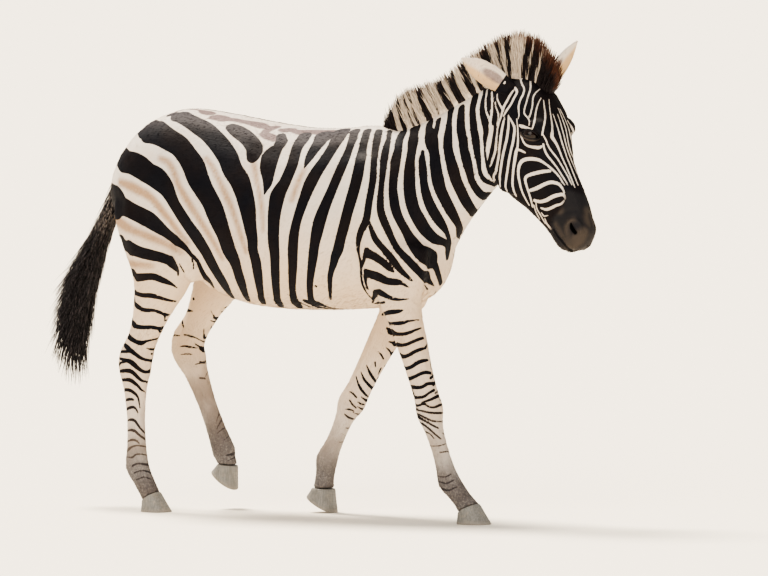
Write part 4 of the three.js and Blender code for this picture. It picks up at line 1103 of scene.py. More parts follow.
# Muscles, folds and openings laid as strokes in the side view (across, down, width), each with how
# far the skin moves outwards there, in millimetres; the other side takes the same.
carving = {
    "nostril": ([(571, 223.5, 3), (572, 228, 5.5), (575, 232.5, 6)], -15),
    "nostrilTop": ([(566.5, 225, 3.5), (569.5, 220, 5), (576, 219.5, 6), (581, 225, 5),
                    (581.5, 232, 4)], 4.5),
    "nostrilBack": ([(566.5, 225, 4), (566, 231.5, 5), (569.5, 238, 5), (576, 239.5, 4)], 4),
    "mouth": ([(553.5, 229, 1.8), (557, 235, 2.4), (561.5, 240.5, 2.8), (566, 246, 3),
               (570.5, 250.5, 3), (576, 253.5, 2.4)], -7),
    "upperLip": ([(556, 227, 3), (560, 233, 4), (565, 239.5, 6), (571, 244.5, 8),
                  (579, 247, 8)], 4),
    "chin": ([(554.5, 238, 5), (558.5, 244.5, 7), (564, 249.5, 5)], 3.5),
    "noseTip": ([(586, 226, 7), (588, 232, 7)], 3),
    "muzzleHollow": ([(560, 214, 6), (567, 211, 7), (576, 210, 7)], -3),
    "cheekHollow": ([(503, 122, 5), (498.5, 138, 7), (495, 155, 7), (492.5, 168, 6),
                     (497, 181, 5)], -5),
    "cheek": ([(508, 145, 16), (511, 160, 22), (516, 176, 18)], 3.5),
    "faceCrest": ([(528, 149, 4), (538, 158, 6.5), (547, 169, 6), (555, 181, 4.5)], 4),
    "crestHollow": ([(534, 165, 8), (541, 176, 9), (548, 190, 8)], -2.5),
    "noseHollow": ([(549, 146, 6), (557, 162, 8), (566, 182, 8)], -2),
    "brow": ([(517, 126, 4), (523, 122.5, 7), (531, 122.5, 7), (538, 128, 4)], 3.5),
    "temple": ([(513, 112, 7), (519, 110, 9), (525, 112, 6)], -3),
    "elbowFold": ([(362.5, 232, 5), (360, 246, 8), (359.5, 260, 9), (363, 274, 7), (369, 285, 4)],
                  -7),
    "elbowPoint": ([(371, 258, 9), (374, 268, 13), (378, 276, 10)], 5),
    "upperArm": ([(392, 240, 14), (398, 258, 18), (405, 276, 16)], 4),
    "shoulderBlade": ([(394, 140, 10), (398, 175, 14), (408, 210, 16), (420, 236, 14)], 3),
    "neckRoot": ([(424, 140, 7), (428, 175, 10), (440, 215, 11), (449, 238, 7)], -4),
    "throatGroove": ([(455, 130, 6), (463, 162, 8), (474, 192, 7)], -3.5),
    "flankFold": ([(203, 268, 3), (196, 262, 7), (189, 268, 9), (184, 279, 8)], -6),
    "hipPoint": ([(236, 142, 12), (244, 150, 14)], 4),
    "flankHollow": ([(250, 158, 14), (254, 176, 16), (250, 196, 14)], -5),
    "thighSplit": ([(150, 172, 8), (143, 205, 9), (148, 240, 9), (158, 268, 7)], -3),
    "hamstring": ([(126, 200, 12), (130, 240, 14), (138, 275, 12)], 3),
    "hockHollow": ([(146, 330, 4), (139, 341, 5.5), (132, 351, 5), (129, 358, 3)], -5),
    "cannonGroove": ([(130, 376, 3), (132, 400, 3.2), (135, 430, 3), (138, 450, 2)], -2.5),
    "foreCannonGroove": ([(432, 424, 2.6), (437, 442, 3), (444, 462, 2)], -2.5),
    "kneeBack": ([(418, 402, 3.5), (422, 412, 4)], -2.5),
}


def carveSkin(points, faces):
    tree = BVHTree.FromPolygons(points.tolist(), faces.tolist())
    for name, rounds in (("nostril", 2), ("mouth", 2)):
        line = layOnSkin(tree, carving[name][0])
        for step in range(rounds):
            near = stripeField(points, [line] + mirrored([line])) > -0.011 + 0.004 * step
            points, faces = refine(points, faces, bothIn(near))
    normals = pointNormals(points, faces)
    moved = np.zeros(len(points))
    for stations, depth in carving.values():
        line = layOnSkin(tree, stations)
        for stroke in [line] + mirrored([line]):
            inside = stripeField(points, [stroke])
            moved += depth / 1000 * smoothStep(0, np.median(line[:, 3]) * 1.2, inside)
    return points + normals * moved[:, None], faces


# Eyes: one ball each, with a wide pupil lying level in a dark brown iris under a wet clear front.
eyePlan = {"radius": 0.029, "centre": (0.621, 0.077, 1.252), "looks": (0.30, 0.95, 0.05),
           "bulge": 0.0010, "sunk": 0.019, "irisRadius": 0.019, "pupilHalf": (0.0075, 0.0042),
           "iris": "#170d09", "spokes": "#26160e", "pupil": "#020203", "white": "#1c1513"}

# The lids' opening: half its length, its height above and below the eye's middle, the lid's
# thickness, and where its folds lie from the rim (metres).
lidPlan = {"half": 0.027, "upper": 0.0120, "lower": 0.0090, "thick": 0.0026, "tilt": 0.30,
           "folds": ((1, 0.0085, -0.0014), (-1, 0.0055, -0.0010), (-1, 0.0105, -0.0009))}


def eyeFrame(side):  # the ball's middle and its forward, upward and outward ways
    out = unit(np.array(eyePlan["looks"]) * (1, side, 1))
    fore = unit(np.cross((0, 0, 1), out)) * -side
    over = unit(np.cross(fore, out)) * side
    tilt = lidPlan["tilt"]
    fore, over = (fore * math.cos(tilt) - over * math.sin(tilt),
                  over * math.cos(tilt) + fore * math.sin(tilt))
    middle = np.array(eyePlan["centre"]) * (1, side, 1) - out * (eyePlan["radius"] - eyePlan["sunk"])
    return middle, fore, over, out


def rimGap(a, b):  # distance outside the lids' opening, below zero inside it
    turn = np.linspace(0, 2 * math.pi, 97)
    height = np.where(np.sin(turn) > 0, lidPlan["upper"], lidPlan["lower"])
    rim = np.stack([np.cos(turn) * lidPlan["half"], np.sin(turn) * np.abs(np.sin(turn)) ** 0.35
                    * height], axis=1)
    gap = np.full(len(a), 9.0)
    spot = np.stack([a, b], axis=1)
    for p, q in zip(rim[:-1], rim[1:]):
        along = q - p
        t = np.clip((spot - p) @ along / max(along @ along, 1e-12), 0, 1)
        gap = np.minimum(gap, np.linalg.norm(spot - p - t[:, None] * along, axis=1))
    share = np.clip(np.abs(a) / lidPlan["half"], 0, 1)
    top = (1 - share ** 2) ** 0.675
    inside = (np.abs(a) < lidPlan["half"]) & (b < lidPlan["upper"] * top) \
        & (b > -lidPlan["lower"] * top)
    return np.where(inside, -gap, gap)


def shapeLids(points, faces):
    for side in (-1, 1):
        middle, fore, over, out = eyeFrame(side)
        for reach in (0.058, 0.038):
            wanted = np.linalg.norm(points - middle - out * 0.015, axis=1) < reach
            points, faces = refine(points, faces, bothIn(wanted))
        rel = points - middle
        a, b, c = rel @ fore, rel @ over, rel @ out
        radius = np.hypot(a, b)
        near = (radius < 0.045) & (c > -0.01)
        ring = near & (radius > 0.025)
        terms = np.stack([a * a, a * b, b * b, a, b, np.ones(len(a))], axis=1)
        shape = np.linalg.lstsq(terms[ring], c[ring], rcond=None)[0]
        ground = terms[near] @ shape
        ground += (c[near] - ground) * smoothStep(0.024, 0.034, radius[near])
        gap = rimGap(a[near], b[near])
        ball = eyePlan["radius"] + lidPlan["thick"] * smoothStep(0, 0.0022, gap) - 0.0006
        reach = np.minimum(radius[near], ball * 0.93)
        lid = np.sqrt(ball ** 2 - reach ** 2) - (radius[near] - reach) * 1.2
        blend = smoothStep(0.003, 0.014, gap)
        target = lid * (1 - blend) + ground * blend
        for kind, at, depth in lidPlan["folds"]:
            target += depth * np.exp(-((gap - at) / 0.0014) ** 2) \
                * smoothStep(0, 0.004, b[near] * kind)
        target = np.where(gap < 0, lid - 0.004 * smoothStep(0, -0.003, gap), target)
        points[near] += out * (target - c[near])[:, None]
    return points, faces


def lidMarks(points, marks):  # dark skin on the rims, tan folds below
    for side in (-1, 1):
        middle, fore, over, out = eyeFrame(side)
        rel = points - middle
        a, b, c = rel @ fore, rel @ over, rel @ out
        near = np.nonzero((np.hypot(a, b) < 0.04) & (c > -0.005))[0]
        gap = rimGap(a[near], b[near])
        below = smoothStep(0.004, -0.004, b[near])
        rim = smoothStep(0.0045, 0.0030, gap - 0.0012 * below)
        fold = smoothStep(0.0115, 0.009, gap) * below
        marks["muzzle"][near] = np.maximum(marks["muzzle"][near], np.maximum(rim, fold))
        marks["lips"][near] = np.maximum(marks["lips"][near], fold * (1 - rim))
    return marks


# Hair grows as tufts: each is a thin flat cone, bent along its length. They grow on a bed mesh
# whose own values say how many (amount), which way (flow) and how long (size).
def tuftTree(material):
    tree = bpy.data.node_groups.new("hair tufts", "GeometryNodeTree")
    shape = tree.interface
    shape.new_socket("Bed", in_out="INPUT", socket_type="NodeSocketGeometry")
    sockets = {}
    for label in ("Density", "Width", "Lift", "Tip", "Spread", "Follow", "Segments", "Seed"):
        kind = "NodeSocketInt" if label in ("Segments", "Seed") else "NodeSocketFloat"
        sockets[label] = shape.new_socket(label, in_out="INPUT", socket_type=kind).identifier
    shape.new_socket("Hair", in_out="OUTPUT", socket_type="NodeSocketGeometry")
    given = addNode(tree, "NodeGroupInput").outputs
    amount = addNode(tree, "GeometryNodeInputNamedAttribute", {"Name": "amount"}).outputs[0]
    flow = addNode(tree, "GeometryNodeInputNamedAttribute", {"Name": "flow"},
                   data_type="FLOAT_VECTOR").outputs[0]
    size = addNode(tree, "GeometryNodeInputNamedAttribute", {"Name": "size"}).outputs[0]
    roots = addNode(tree, "GeometryNodeDistributePointsOnFaces",
                    {"Mesh": given["Bed"], "Seed": given["Seed"],
                     "Density": put(tree, "times", amount, given["Density"])},
                    distribute_method="RANDOM")
    place = addNode(tree, "GeometryNodeInputPosition").outputs[0]
    rooted = addNode(tree, "GeometryNodeStoreNamedAttribute",
                     {"Geometry": roots.outputs["Points"], "Name": "root", "Value": place},
                     data_type="FLOAT_VECTOR", domain="POINT").outputs[0]
    stray = addNode(tree, "FunctionNodeRandomValue", {0: (-1, -1, -1), 1: (1, 1, 1),
                                                      "Seed": given["Seed"]},
                    data_type="FLOAT_VECTOR").outputs[0]
    stray = addNode(tree, "ShaderNodeVectorMath", {0: stray, "Scale": given["Spread"]},
                    operation="SCALE").outputs[0]
    way = addNode(tree, "ShaderNodeVectorMath", {0: flow, 1: stray}, operation="ADD").outputs[0]
    turned = addNode(tree, "FunctionNodeAlignRotationToVector", {"Vector": way}, axis="Z")
    turned = addNode(tree, "FunctionNodeAlignRotationToVector",
                     {"Rotation": turned.outputs[0], "Vector": roots.outputs["Normal"]},
                     axis="Y", pivot_axis="Z").outputs[0]
    middle = addNode(tree, "ShaderNodeCombineXYZ", {1: given["Lift"], 2: 0.5}).outputs[0]
    end = addNode(tree, "ShaderNodeCombineXYZ", {1: given["Tip"], 2: 1.0}).outputs[0]
    line = addNode(tree, "GeometryNodeCurveQuadraticBezier",
                   {"Resolution": given["Segments"], "Start": (0, 0, 0), "Middle": middle,
                    "End": end}).outputs[0]
    factor = addNode(tree, "GeometryNodeSplineParameter").outputs["Factor"]
    line = addNode(tree, "GeometryNodeStoreNamedAttribute",
                   {"Geometry": line, "Name": "along", "Value": factor}, domain="POINT").outputs[0]
    outline = addNode(tree, "GeometryNodeCurvePrimitiveCircle",
                      {"Resolution": 3, "Radius": given["Width"]}).outputs[0]
    outline = addNode(tree, "GeometryNodeTransform", {"Geometry": outline,
                                                      "Scale": (1, 0.45, 1)}).outputs[0]
    taper = addNode(tree, "ShaderNodeMapRange", {"Value": factor, "To Min": 1.0,
                                                 "To Max": 0.08}).outputs[0]
    tuft = addNode(tree, "GeometryNodeCurveToMesh", {"Curve": line, "Profile Curve": outline,
                                                     "Scale": taper, "Fill Caps": True}).outputs[0]
    chance = addNode(tree, "FunctionNodeRandomValue", {2: 0.65, 3: 1.25,
                                                       "Seed": given["Seed"]}).outputs[1]
    length = put(tree, "times", size, chance)
    grown = addNode(tree, "GeometryNodeInstanceOnPoints",
                    {"Points": rooted, "Instance": tuft, "Rotation": turned,
                     "Scale": length}).outputs[0]
    real = addNode(tree, "GeometryNodeRealizeInstances", {"Geometry": grown}).outputs[0]
    own = addNode(tree, "GeometryNodeInputNamedAttribute", {"Name": "dark"}).outputs[0]
    under = addNode(tree, "GeometryNodeSampleNearestSurface",
                    {"Mesh": given["Bed"], "Value": own, "Sample Position": place}).outputs[0]
    shared = addNode(tree, "ShaderNodeMix", {0: given["Follow"], 2: own, 3: under}).outputs[0]
    real = addNode(tree, "GeometryNodeStoreNamedAttribute",
                   {"Geometry": real, "Name": "dark", "Value": shared}, domain="POINT").outputs[0]
    real = addNode(tree, "GeometryNodeSetMaterial", {"Geometry": real,
                                                     "Material": material}).outputs[0]
    addNode(tree, "NodeGroupOutput", {0: real})
    return tree, sockets


# The body is unrolled round its own middle lines for the hair's map: each line has its own tile.
unrollLines = {
    "body": ([(-0.95, 0, 1.02), (-0.5, 0, 0.98), (0.0, 0, 0.95), (0.30, 0, 1.10), (0.50, 0, 1.26),
              (0.66, 0, 1.18), (0.93, 0, 0.82)], (0.0, 0.0, 1.0, 0.5)),
    "tail": ([(-0.93, 0.002, 1.20), (-1.06, 0.016, 1.04), (-1.14, 0.028, 0.92),
              (-1.26, 0.06, 0.60), (-1.28, 0.062, 0.50)], (0.0, 0.5, 0.25, 0.5)),
}


mapPatch = 0.003  # the size of one tuft's patch on the map


def unroll(points):
    lines = dict(unrollLines)
    for index, (line, side) in enumerate(bones.values()):
        tile = (0.25 + 0.1875 * index, 0.5, 0.1875, 0.5)
        lines[f"leg {index}"] = ([(x, side, z) for x, z in line[1:]], tile)
    best = np.full(len(points), 9.0)
    placed = np.zeros((len(points), 2))
    for line, (left, low, wide, high) in lines.values():
        line = np.array(line)
        parts = np.diff(line, axis=0)
        lengths = np.linalg.norm(parts, axis=1)
        start = np.concatenate([[0], np.cumsum(lengths)])
        for i, along in enumerate(parts / lengths[:, None]):
            t = np.clip((points - line[i]) @ along, 0, lengths[i])
            rest = points - line[i] - t[:, None] * along
            gap = np.linalg.norm(rest, axis=1)
            over = np.array((-along[2], 0, along[0]))
            angle = np.arctan2(rest[:, 1], rest @ over) / (2 * math.pi) + 0.5
            share = (start[i] + t) / start[-1]
            across, down = (share, angle) if wide > high else (angle, share)
            spot = np.stack([left + wide * (0.02 + 0.96 * across), low + high * (0.02 + 0.96 * down)],
                            axis=1)
            better = gap < best
            best = np.where(better, gap, best)
            placed = np.where(better[:, None], spot, placed)
    return placed


def growTufts(name, bed, plan, material):
    tree, sockets = tuftTree(material)
    grower = bed.modifiers.new("hair", "NODES")
    grower.node_group = tree
    for label, identifier in sockets.items():
        grower[identifier] = plan[label]
    mesh = evaluated(bed)
    bed.modifiers.remove(grower)
    bpy.data.node_groups.remove(tree)
    count = len(mesh.vertices)
    root = np.empty(count * 3)
    mesh.attributes["root"].data.foreach_get("vector", root)
    along = np.empty(count)
    mesh.attributes["along"].data.foreach_get("value", along)
    spot = unroll(root.reshape(-1, 3) - (withersX, 0, 0))
    spot += np.stack([np.arange(count) % 3 / 2, along], axis=1) * mapPatch
    corner = np.empty(len(mesh.loops), dtype=np.int32)
    mesh.loops.foreach_get("vertex_index", corner)
    layer = mesh.uv_layers.new(name="OFBake")
    layer.data.foreach_set("uv", np.ascontiguousarray(spot[corner], dtype=np.float32).ravel())
    for spare in ("root", "flow", "amount", "size"):
        if spare in mesh.attributes:
            mesh.attributes.remove(mesh.attributes[spare])
    mesh.shade_smooth()
    hair = addObject(name, mesh)
    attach(hair, "root")
    mesh.calc_loop_triangles()
    print(name, len(mesh.loop_triangles), "triangles")
    bpy.data.objects.remove(bed)


def writeBed(mesh, amount, flow, size):
    writeMarks(mesh, {"amount": amount, "size": size})
    layer = mesh.attributes.new("flow", "FLOAT_VECTOR", "POINT")
    layer.data.foreach_set("vector", np.ascontiguousarray(flow, dtype=np.float32).ravel())


def rowsAt(rows, where):  # a smooth curve through the rows, read at places between them
    rows = np.array(rows, dtype=float)
    padded = np.vstack([2 * rows[0] - rows[1], rows, 2 * rows[-1] - rows[-2]])
    base = np.clip(np.floor(where).astype(int), 0, len(rows) - 2)
    t = (where - base)[:, None]
    a, b, c, d = (padded[base + k] for k in range(4))
    return 0.5 * (2 * b + (c - a) * t + (2 * a - 5 * b + 4 * c - d) * t * t
                  + (3 * b - a - 3 * c + d) * t ** 3)


def closedLoft(rings):  # rings[row, corner] to points and faces, with a fan over each end
    rows, sides = rings.shape[:2]
    points = np.vstack([rings.reshape(-1, 3), rings[0].mean(axis=0), rings[-1].mean(axis=0)])
    a = (np.arange(rows - 1)[:, None] * sides + np.arange(sides)).ravel()
    b = (np.arange(rows - 1)[:, None] * sides + (np.arange(sides) + 1) % sides).ravel()
    faces = np.vstack([np.stack([a, b, b + sides], axis=1),
                       np.stack([a, b + sides, a + sides], axis=1)])
    this, following = np.arange(sides), (np.arange(sides) + 1) % sides
    last = (rows - 1) * sides
    first = np.stack([following, this, np.full(sides, rows * sides)], axis=1)
    final = np.stack([this + last, following + last, np.full(sides, rows * sides + 1)], axis=1)
    faces = np.vstack([faces, first, final])
    corner = points[faces]
    volume = np.einsum("ij,ij->i", corner[:, 0], np.cross(corner[:, 1], corner[:, 2])).sum()
    return points, faces if volume > 0 else faces[:, ::-1]


# The short coat: small tufts that lie back along the body, down the legs and down the face, grown
# in six pieces. Lengths in metres; tufts is the number in a piece, width a share of a tuft's length.
coatPlan = {"bodyLength": 0.009, "legLength": 0.007, "faceLength": 0.005, "bellyLength": 0.014,
            "lift": 0.10, "tufts": 9800, "width": 0.13, "follow": 0.65}


def coatFlow(points, normals):
    x, y, z = points.T
    head = headShare(points)
    leg = legShare(points)
    neck = smoothStep(0.10, 0.25, x) * (1 - head)
    way = np.array((-0.80, 0, -0.60)) + neck[:, None] * (0.45, 0, -0.2)
    way = way + leg[:, None] * (0.70, 0, -0.6)
    ahead = smoothStep(0.56, 0.62, x) * head
    way = way * (1 - head[:, None]) + head[:, None] * (-0.2, 0, -0.9) + ahead[:, None] * (0.7, 0, 0)
    way += np.stack([x * 0, np.sign(y) * 0.25 * smoothStep(0.8, 1.0, normals[:, 2]), x * 0], axis=1)
    flat = unit(way - normals * (way * normals).sum(axis=1)[:, None])
    return unit(flat + normals * coatPlan["lift"])


def makeCoat(points, normals, faces, marks):
    x, y, z = points.T
    head, leg = headShare(points) > 0.5, legShare(points) > 0.5
    body = ~head & ~leg
    pieces = {"coat_head": head, "coat_neck": body & (x > 0.02), "coat_barrel": body & (x <= 0.02)
              & (x > -0.48), "coat_rump": body & (x <= -0.48), "coat_fore_legs": leg & (x > -0.5),
              "coat_hind_legs": leg & (x <= -0.5)}
    size = np.full(len(points), coatPlan["bodyLength"])
    size += (coatPlan["bellyLength"] - size) * smoothStep(-0.6, -0.9, normals[:, 2])
    size += (coatPlan["legLength"] - size) * legShare(points)
    size += (coatPlan["faceLength"] - size) * headShare(points)
    bare = marks["muzzle"] * 0.75
    for side in (-1, 1):
        middle = eyeFrame(side)[0]
        bare = np.maximum(bare, smoothStep(0.040, 0.032, np.linalg.norm(points - middle, axis=1)))
    corner = points[faces]
    areas = np.linalg.norm(np.cross(corner[:, 1] - corner[:, 0], corner[:, 2] - corner[:, 0]),
                           axis=1) / 2
    material = makeCoatMaterial("coat tufts", False)
    for index, (name, where) in enumerate(pieces.items()):
        bed = addObject(name + " bed", skin.data.copy())
        amount = where * (1 - bare)
        writeBed(bed.data, amount, coatFlow(points, normals), size)
        spread = (amount[faces].mean(axis=1) * areas).sum()
        plan = {"Density": coatPlan["tufts"] / spread, "Width": coatPlan["width"], "Lift": 0.03,
                "Tip": -0.06, "Spread": 0.12, "Segments": 1, "Seed": 21 + index,
                "Follow": coatPlan["follow"]}
        growTufts(name, bed, plan, material)


# The mane: a standing brush on the crest. Rows: foot (x, z), how far it leans forward, its share
# of the full height and half its thickness at the foot (millimetres but for the share).
manePlan = {"height": 0.144, "rows": 300, "locks": 30000, "lockLength": 0.05, "lean": 0.30,
            "frizz": 0.22, "rust": "#643f2f", "dark": "#121113", "darkStreak": "#33272a",
            "pale": "#e6ddd0", "paleStreak": "#c9b49c"}
maneRows = [
    (2, 1258, 14, 0.24, 8), (60, 1250, -2, 0.67, 17), (118, 1262, -13, 0.85, 21),
    (190, 1288, -20, 0.79, 24), (262, 1322, -22, 0.71, 26), (335, 1358, -25, 0.75, 27),
    (405, 1392, -20, 0.87, 27), (470, 1415, -10, 0.965, 26), (530, 1424, 5, 1, 25),
    (580, 1412, 22, 0.96, 25), (612, 1396, 44, 0.74, 25), (634, 1380, 46, 0.49, 21),
    (648, 1378, 26, 0.26, 12),
]


def paleInMane(points):  # 1 where the mane is white, read at the foot of the hair
    u = inView(points)[0]
    share = np.zeros(len(points))
    for start, end in maneWhites:
        share = np.maximum(share, smoothStep(-0.8, 0.8, np.minimum(u - start, end - u)))
    return share


def makeMane():
    steps = manePlan["rows"]
    rows = rowsAt(maneRows, np.linspace(0, len(maneRows) - 1, steps))
    rows = rows * (0.001, 0.001, 0.001, 1, 0.001)
    rise = np.array([-0.08, 0.1, 0.25, 0.4, 0.55, 0.68, 0.8, 0.9, 0.97, 1.0])
    wide = np.array([1, 1, 0.93, 0.85, 0.74, 0.62, 0.5, 0.36, 0.2, 0.0])
    rise = np.concatenate([rise, rise[-2::-1]])
    side = np.concatenate([-wide, wide[-2::-1]])
    ridge = np.interp(np.arange(steps), np.arange(0, steps, 3), rng.normal(0, 1, (steps + 2) // 3))
    tall = rows[:, 3] * manePlan["height"] - 0.008 + ridge * 0.003
    foot = np.stack([rows[:, 0], np.zeros(steps), rows[:, 1]], axis=1)
    top = foot + np.stack([rows[:, 2], np.zeros(steps), tall], axis=1)
    rings = foot[:, None] + (top - foot)[:, None] * rise[:, None]
    groove = np.interp(np.arange(steps), np.arange(0, steps, 4), rng.normal(0, 1, (steps + 3) // 4))
    rings[:, :, 1] = side * (rows[:, 4][:, None] + groove[:, None] * 0.0015 * rise)
    points, faces = closedLoft(rings)
    footOf = np.vstack([np.repeat(foot, len(rise), axis=0), foot[0], foot[-1]])
    share = np.concatenate([np.tile(rise, steps), [0, 0]])
    frizz = share + manePlan["frizz"] * smoothStep(0.54, 0.62, footOf[:, 0]) * smoothStep(0, 0.5, share)
    lean = manePlan["lean"] * (1 - smoothStep(0.44, 0.54, footOf[:, 0]))
    bandFoot = footOf + (0, -0.02, 0.0)
    bandFoot[:, 0] += lean * share * np.concatenate([np.repeat(tall, len(rise)), [0, 0]])
    marks = {"band": paleInMane(bandFoot), "high": frizz}
    core = addObject("mane", buildMesh("mane", points + (withersX, 0, 0), faces))
    writeMarks(core.data, marks)
    upward = unit(top - foot)
    flow = np.vstack([np.repeat(upward, len(rise), axis=0), upward[0], upward[-1]])
    flow = unit(flow - (1, 0, 0) * lean[:, None])
    sideways = np.concatenate([np.tile(side, steps), [0, 0]])[:, None] * (0, 0.12, 0)
    size = np.minimum(manePlan["lockLength"], (1.06 - share) * np.concatenate(
        [np.repeat(tall, len(rise)), [0.02, 0.02]]) + 0.012)
    bed = addObject("mane bed", core.data.copy())
    writeBed(bed.data, np.clip(share * 20, 0, 1), unit(flow + sideways), size)
    plan = {"Density": manePlan["locks"], "Width": 0.055, "Lift": 0.02, "Tip": -0.03,
            "Spread": 0.13, "Segments": 3, "Seed": 3, "Follow": 0.0}
    material = makeManeMaterial()
    core.data.materials.append(material)
    growTufts("mane_hair", bed, plan, material)
    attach(core, "root")
    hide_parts("mane")


# Stiff upright mane hair: coarse, a little glossy, dark or white from the root, rusty at the tips.
def makeManeMaterial():
    material, tree, shader = newMaterial("stiff mane hair", {"Roughness": 0.5,
                                                             "Specular IOR Level": 0.3})
    streak = strands(tree, (420, 420, 40))
    shift = put(tree, "times", put(tree, "subtract", streak, 0.5), 0.5)
    dark = put(tree, "mix", streak, manePlan["dark"], manePlan["darkStreak"])
    pale = put(tree, "mix", streak, manePlan["pale"], manePlan["paleStreak"])
    band, high = (put(tree, "add", put(tree, "mark", attribute_name=name), shift)
                  for name in ("band", "high"))
    colour = put(tree, "mix", put(tree, "ramp", band, 0.4, 0.6), dark, pale)
    tip = put(tree, "ramp", high, 0.68, 0.95)
    colour = put(tree, "mix", put(tree, "times", tip, 0.8), colour, manePlan["rust"])
    tree.links.new(colour, shader.inputs["Base Color"])
    tree.links.new(put(tree, "bump", streak, 0.5, 0.002), shader.inputs["Normal"])
    return material


# The tail's long hair, from the end of the dock. Rows: upper edge (x, z), under edge (x, z), half
# width and place to the left (millimetres).
tailPlan = {"locks": 17000, "lockLength": 0.125, "dark": "#16161b", "brown": "#565053",
            "rootPale": "#a89f9a"}
tailRows = [
    (-1040, 1142, -1000, 1112, 26, 8), (-1088, 1062, -1036, 1038, 27, 16),
    (-1128, 992, -1076, 970, 26, 22), (-1160, 940, -1106, 916, 27, 26),
    (-1178, 912, -1120, 894, 31, 28), (-1224, 850, -1146, 824, 38, 34),
    (-1276, 774, -1176, 745, 43, 42), (-1310, 694, -1202, 668, 42, 50),
    (-1328, 615, -1226, 596, 36, 56), (-1326, 556, -1246, 540, 24, 60),
    (-1302, 514, -1266, 508, 7, 62),
]


def makeTail():
    steps, sides = 90, 36
    rows = rowsAt(tailRows, np.linspace(0, len(tailRows) - 1, steps)) * 0.001
    angle = np.linspace(0, 2 * math.pi, sides, endpoint=False)
    fore = np.stack([rows[:, 0], rows[:, 5], rows[:, 1]], axis=1)
    aft = np.stack([rows[:, 2], rows[:, 5], rows[:, 3]], axis=1)
    middle, reach = (fore + aft) / 2, (fore - aft) / 2
    ripple = 0.86 + 0.05 * np.sin(angle * 7 + np.linspace(0, 4, steps)[:, None])
    rings = middle[:, None] + reach[:, None] * (np.cos(angle) * ripple)[:, :, None]
    rings[:, :, 1] += rows[:, 4][:, None] * np.sin(angle) * ripple
    points, faces = closedLoft(rings)
    down = unit(np.gradient(middle, axis=0))
    share = np.concatenate([np.repeat(np.linspace(0, 1, steps), sides), [0, 1]])
    core = addObject("tail_hair", buildMesh("tail_hair", points + (withersX, 0, 0), faces))
    writeMarks(core.data, {"band": share * 0, "high": share})
    flow = np.vstack([np.repeat(down, sides, axis=0), down[0], down[-1]])
    outwards = pointNormals(points, faces) * 0.22 * smoothStep(0.1, 0.6, share)[:, None]
    flow = unit(flow + outwards + (-0.12, 0, 0) * smoothStep(0.2, 0.7, share)[:, None])
    bed = addObject("tail bed", core.data.copy())
    size = tailPlan["lockLength"] * (1.0 - 0.2 * share)
    writeBed(bed.data, np.ones(len(points)), flow, size)
    plan = {"Density": tailPlan["locks"], "Width": 0.024, "Lift": 0.05, "Tip": -0.02,
            "Spread": 0.14, "Segments": 4, "Seed": 9, "Follow": 0.0}
    material = makeTailMaterial()
    core.data.materials.append(material)
    growTufts("tail_locks", bed, plan, material)
    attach(core, "root")
    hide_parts("tail_switch")


# Long coarse tail hair: nearly black strands with brown ones among them, a soft gloss along them.
def makeTailMaterial():
    material, tree, shader = newMaterial("long tail hair", {"Roughness": 0.48,
                                                            "Specular IOR Level": 0.3})
    streak = strands(tree, (330, 330, 22), turn=(0, 0.35, 0))
    brown = put(tree, "ramp", streak, 0.42, 0.72)
    colour = put(tree, "mix", brown, tailPlan["dark"], tailPlan["brown"])
    upper = put(tree, "ramp", put(tree, "mark", attribute_name="high"), 0.34, 0.02)
    upper = put(tree, "times", upper, put(tree, "ramp", streak, 0.45, 0.62))
    colour = put(tree, "mix", upper, colour, tailPlan["rootPale"])
    tree.links.new(colour, shader.inputs["Base Color"])
    tree.links.new(put(tree, "bump", streak, 0.6, 0.002), shader.inputs["Normal"])
    return material


# Ears: a leaf rolled round its own length. Columns: place along it, half width, depth of the roll
# and thickness of the wall (millimetres but for the first).
earRows = [(-0.2, 20, 24, 22), (0.08, 30, 28, 15), (0.28, 39, 28, 9), (0.5, 41, 22, 6.5),
           (0.7, 34, 15, 5), (0.87, 18, 8, 4.5), (1, 3, 2, 4)]
earLength = 0.186
ears = {"right": ((0.531, -0.058, 1.394), (-0.68, -0.46, 0.56), (0.42, -0.78, -0.4)),
        "left": ((0.606, 0.054, 1.397), (0.27, 0.52, 0.82), (0.95, 0, -0.25))}


def earAxes(name):
    root, along, face = (np.array(v, dtype=float) for v in ears[name])
    along = unit(along)
    face = unit(face - along * (face @ along))
    return root, along, face, np.cross(along, face)


def alongEar(points, name):  # share of the ear's length, and distance from its middle line
    root, along = earAxes(name)[:2]
    at = (points - root) @ along / earLength
    return at, np.linalg.norm(points - root - np.outer(at * earLength, along), axis=1)


def makeEar(name):
    root, along, face, side = earAxes(name)
    across = np.linspace(-1.35, 1.35, 18)
    rings = []
    for at, half, roll, wall in rowsAt(earRows, np.linspace(0, len(earRows) - 1, 48)):
        ring = []
        for inner in (False, True):
            for angle in (across if not inner else across[::-1]):
                inset = wall if inner else 0
                out = math.sin(angle) * (half - inset * 0.35)
                back = -math.cos(angle) * (roll - inset) + (1 if inner else -1)
                ring.append(root + along * at * earLength + side * out / 1000 + face * back / 1000)
        rings.append(ring)
    points, faces = closedLoft(np.array(rings))
    return addObject("ear", buildMesh("ear", points, faces))


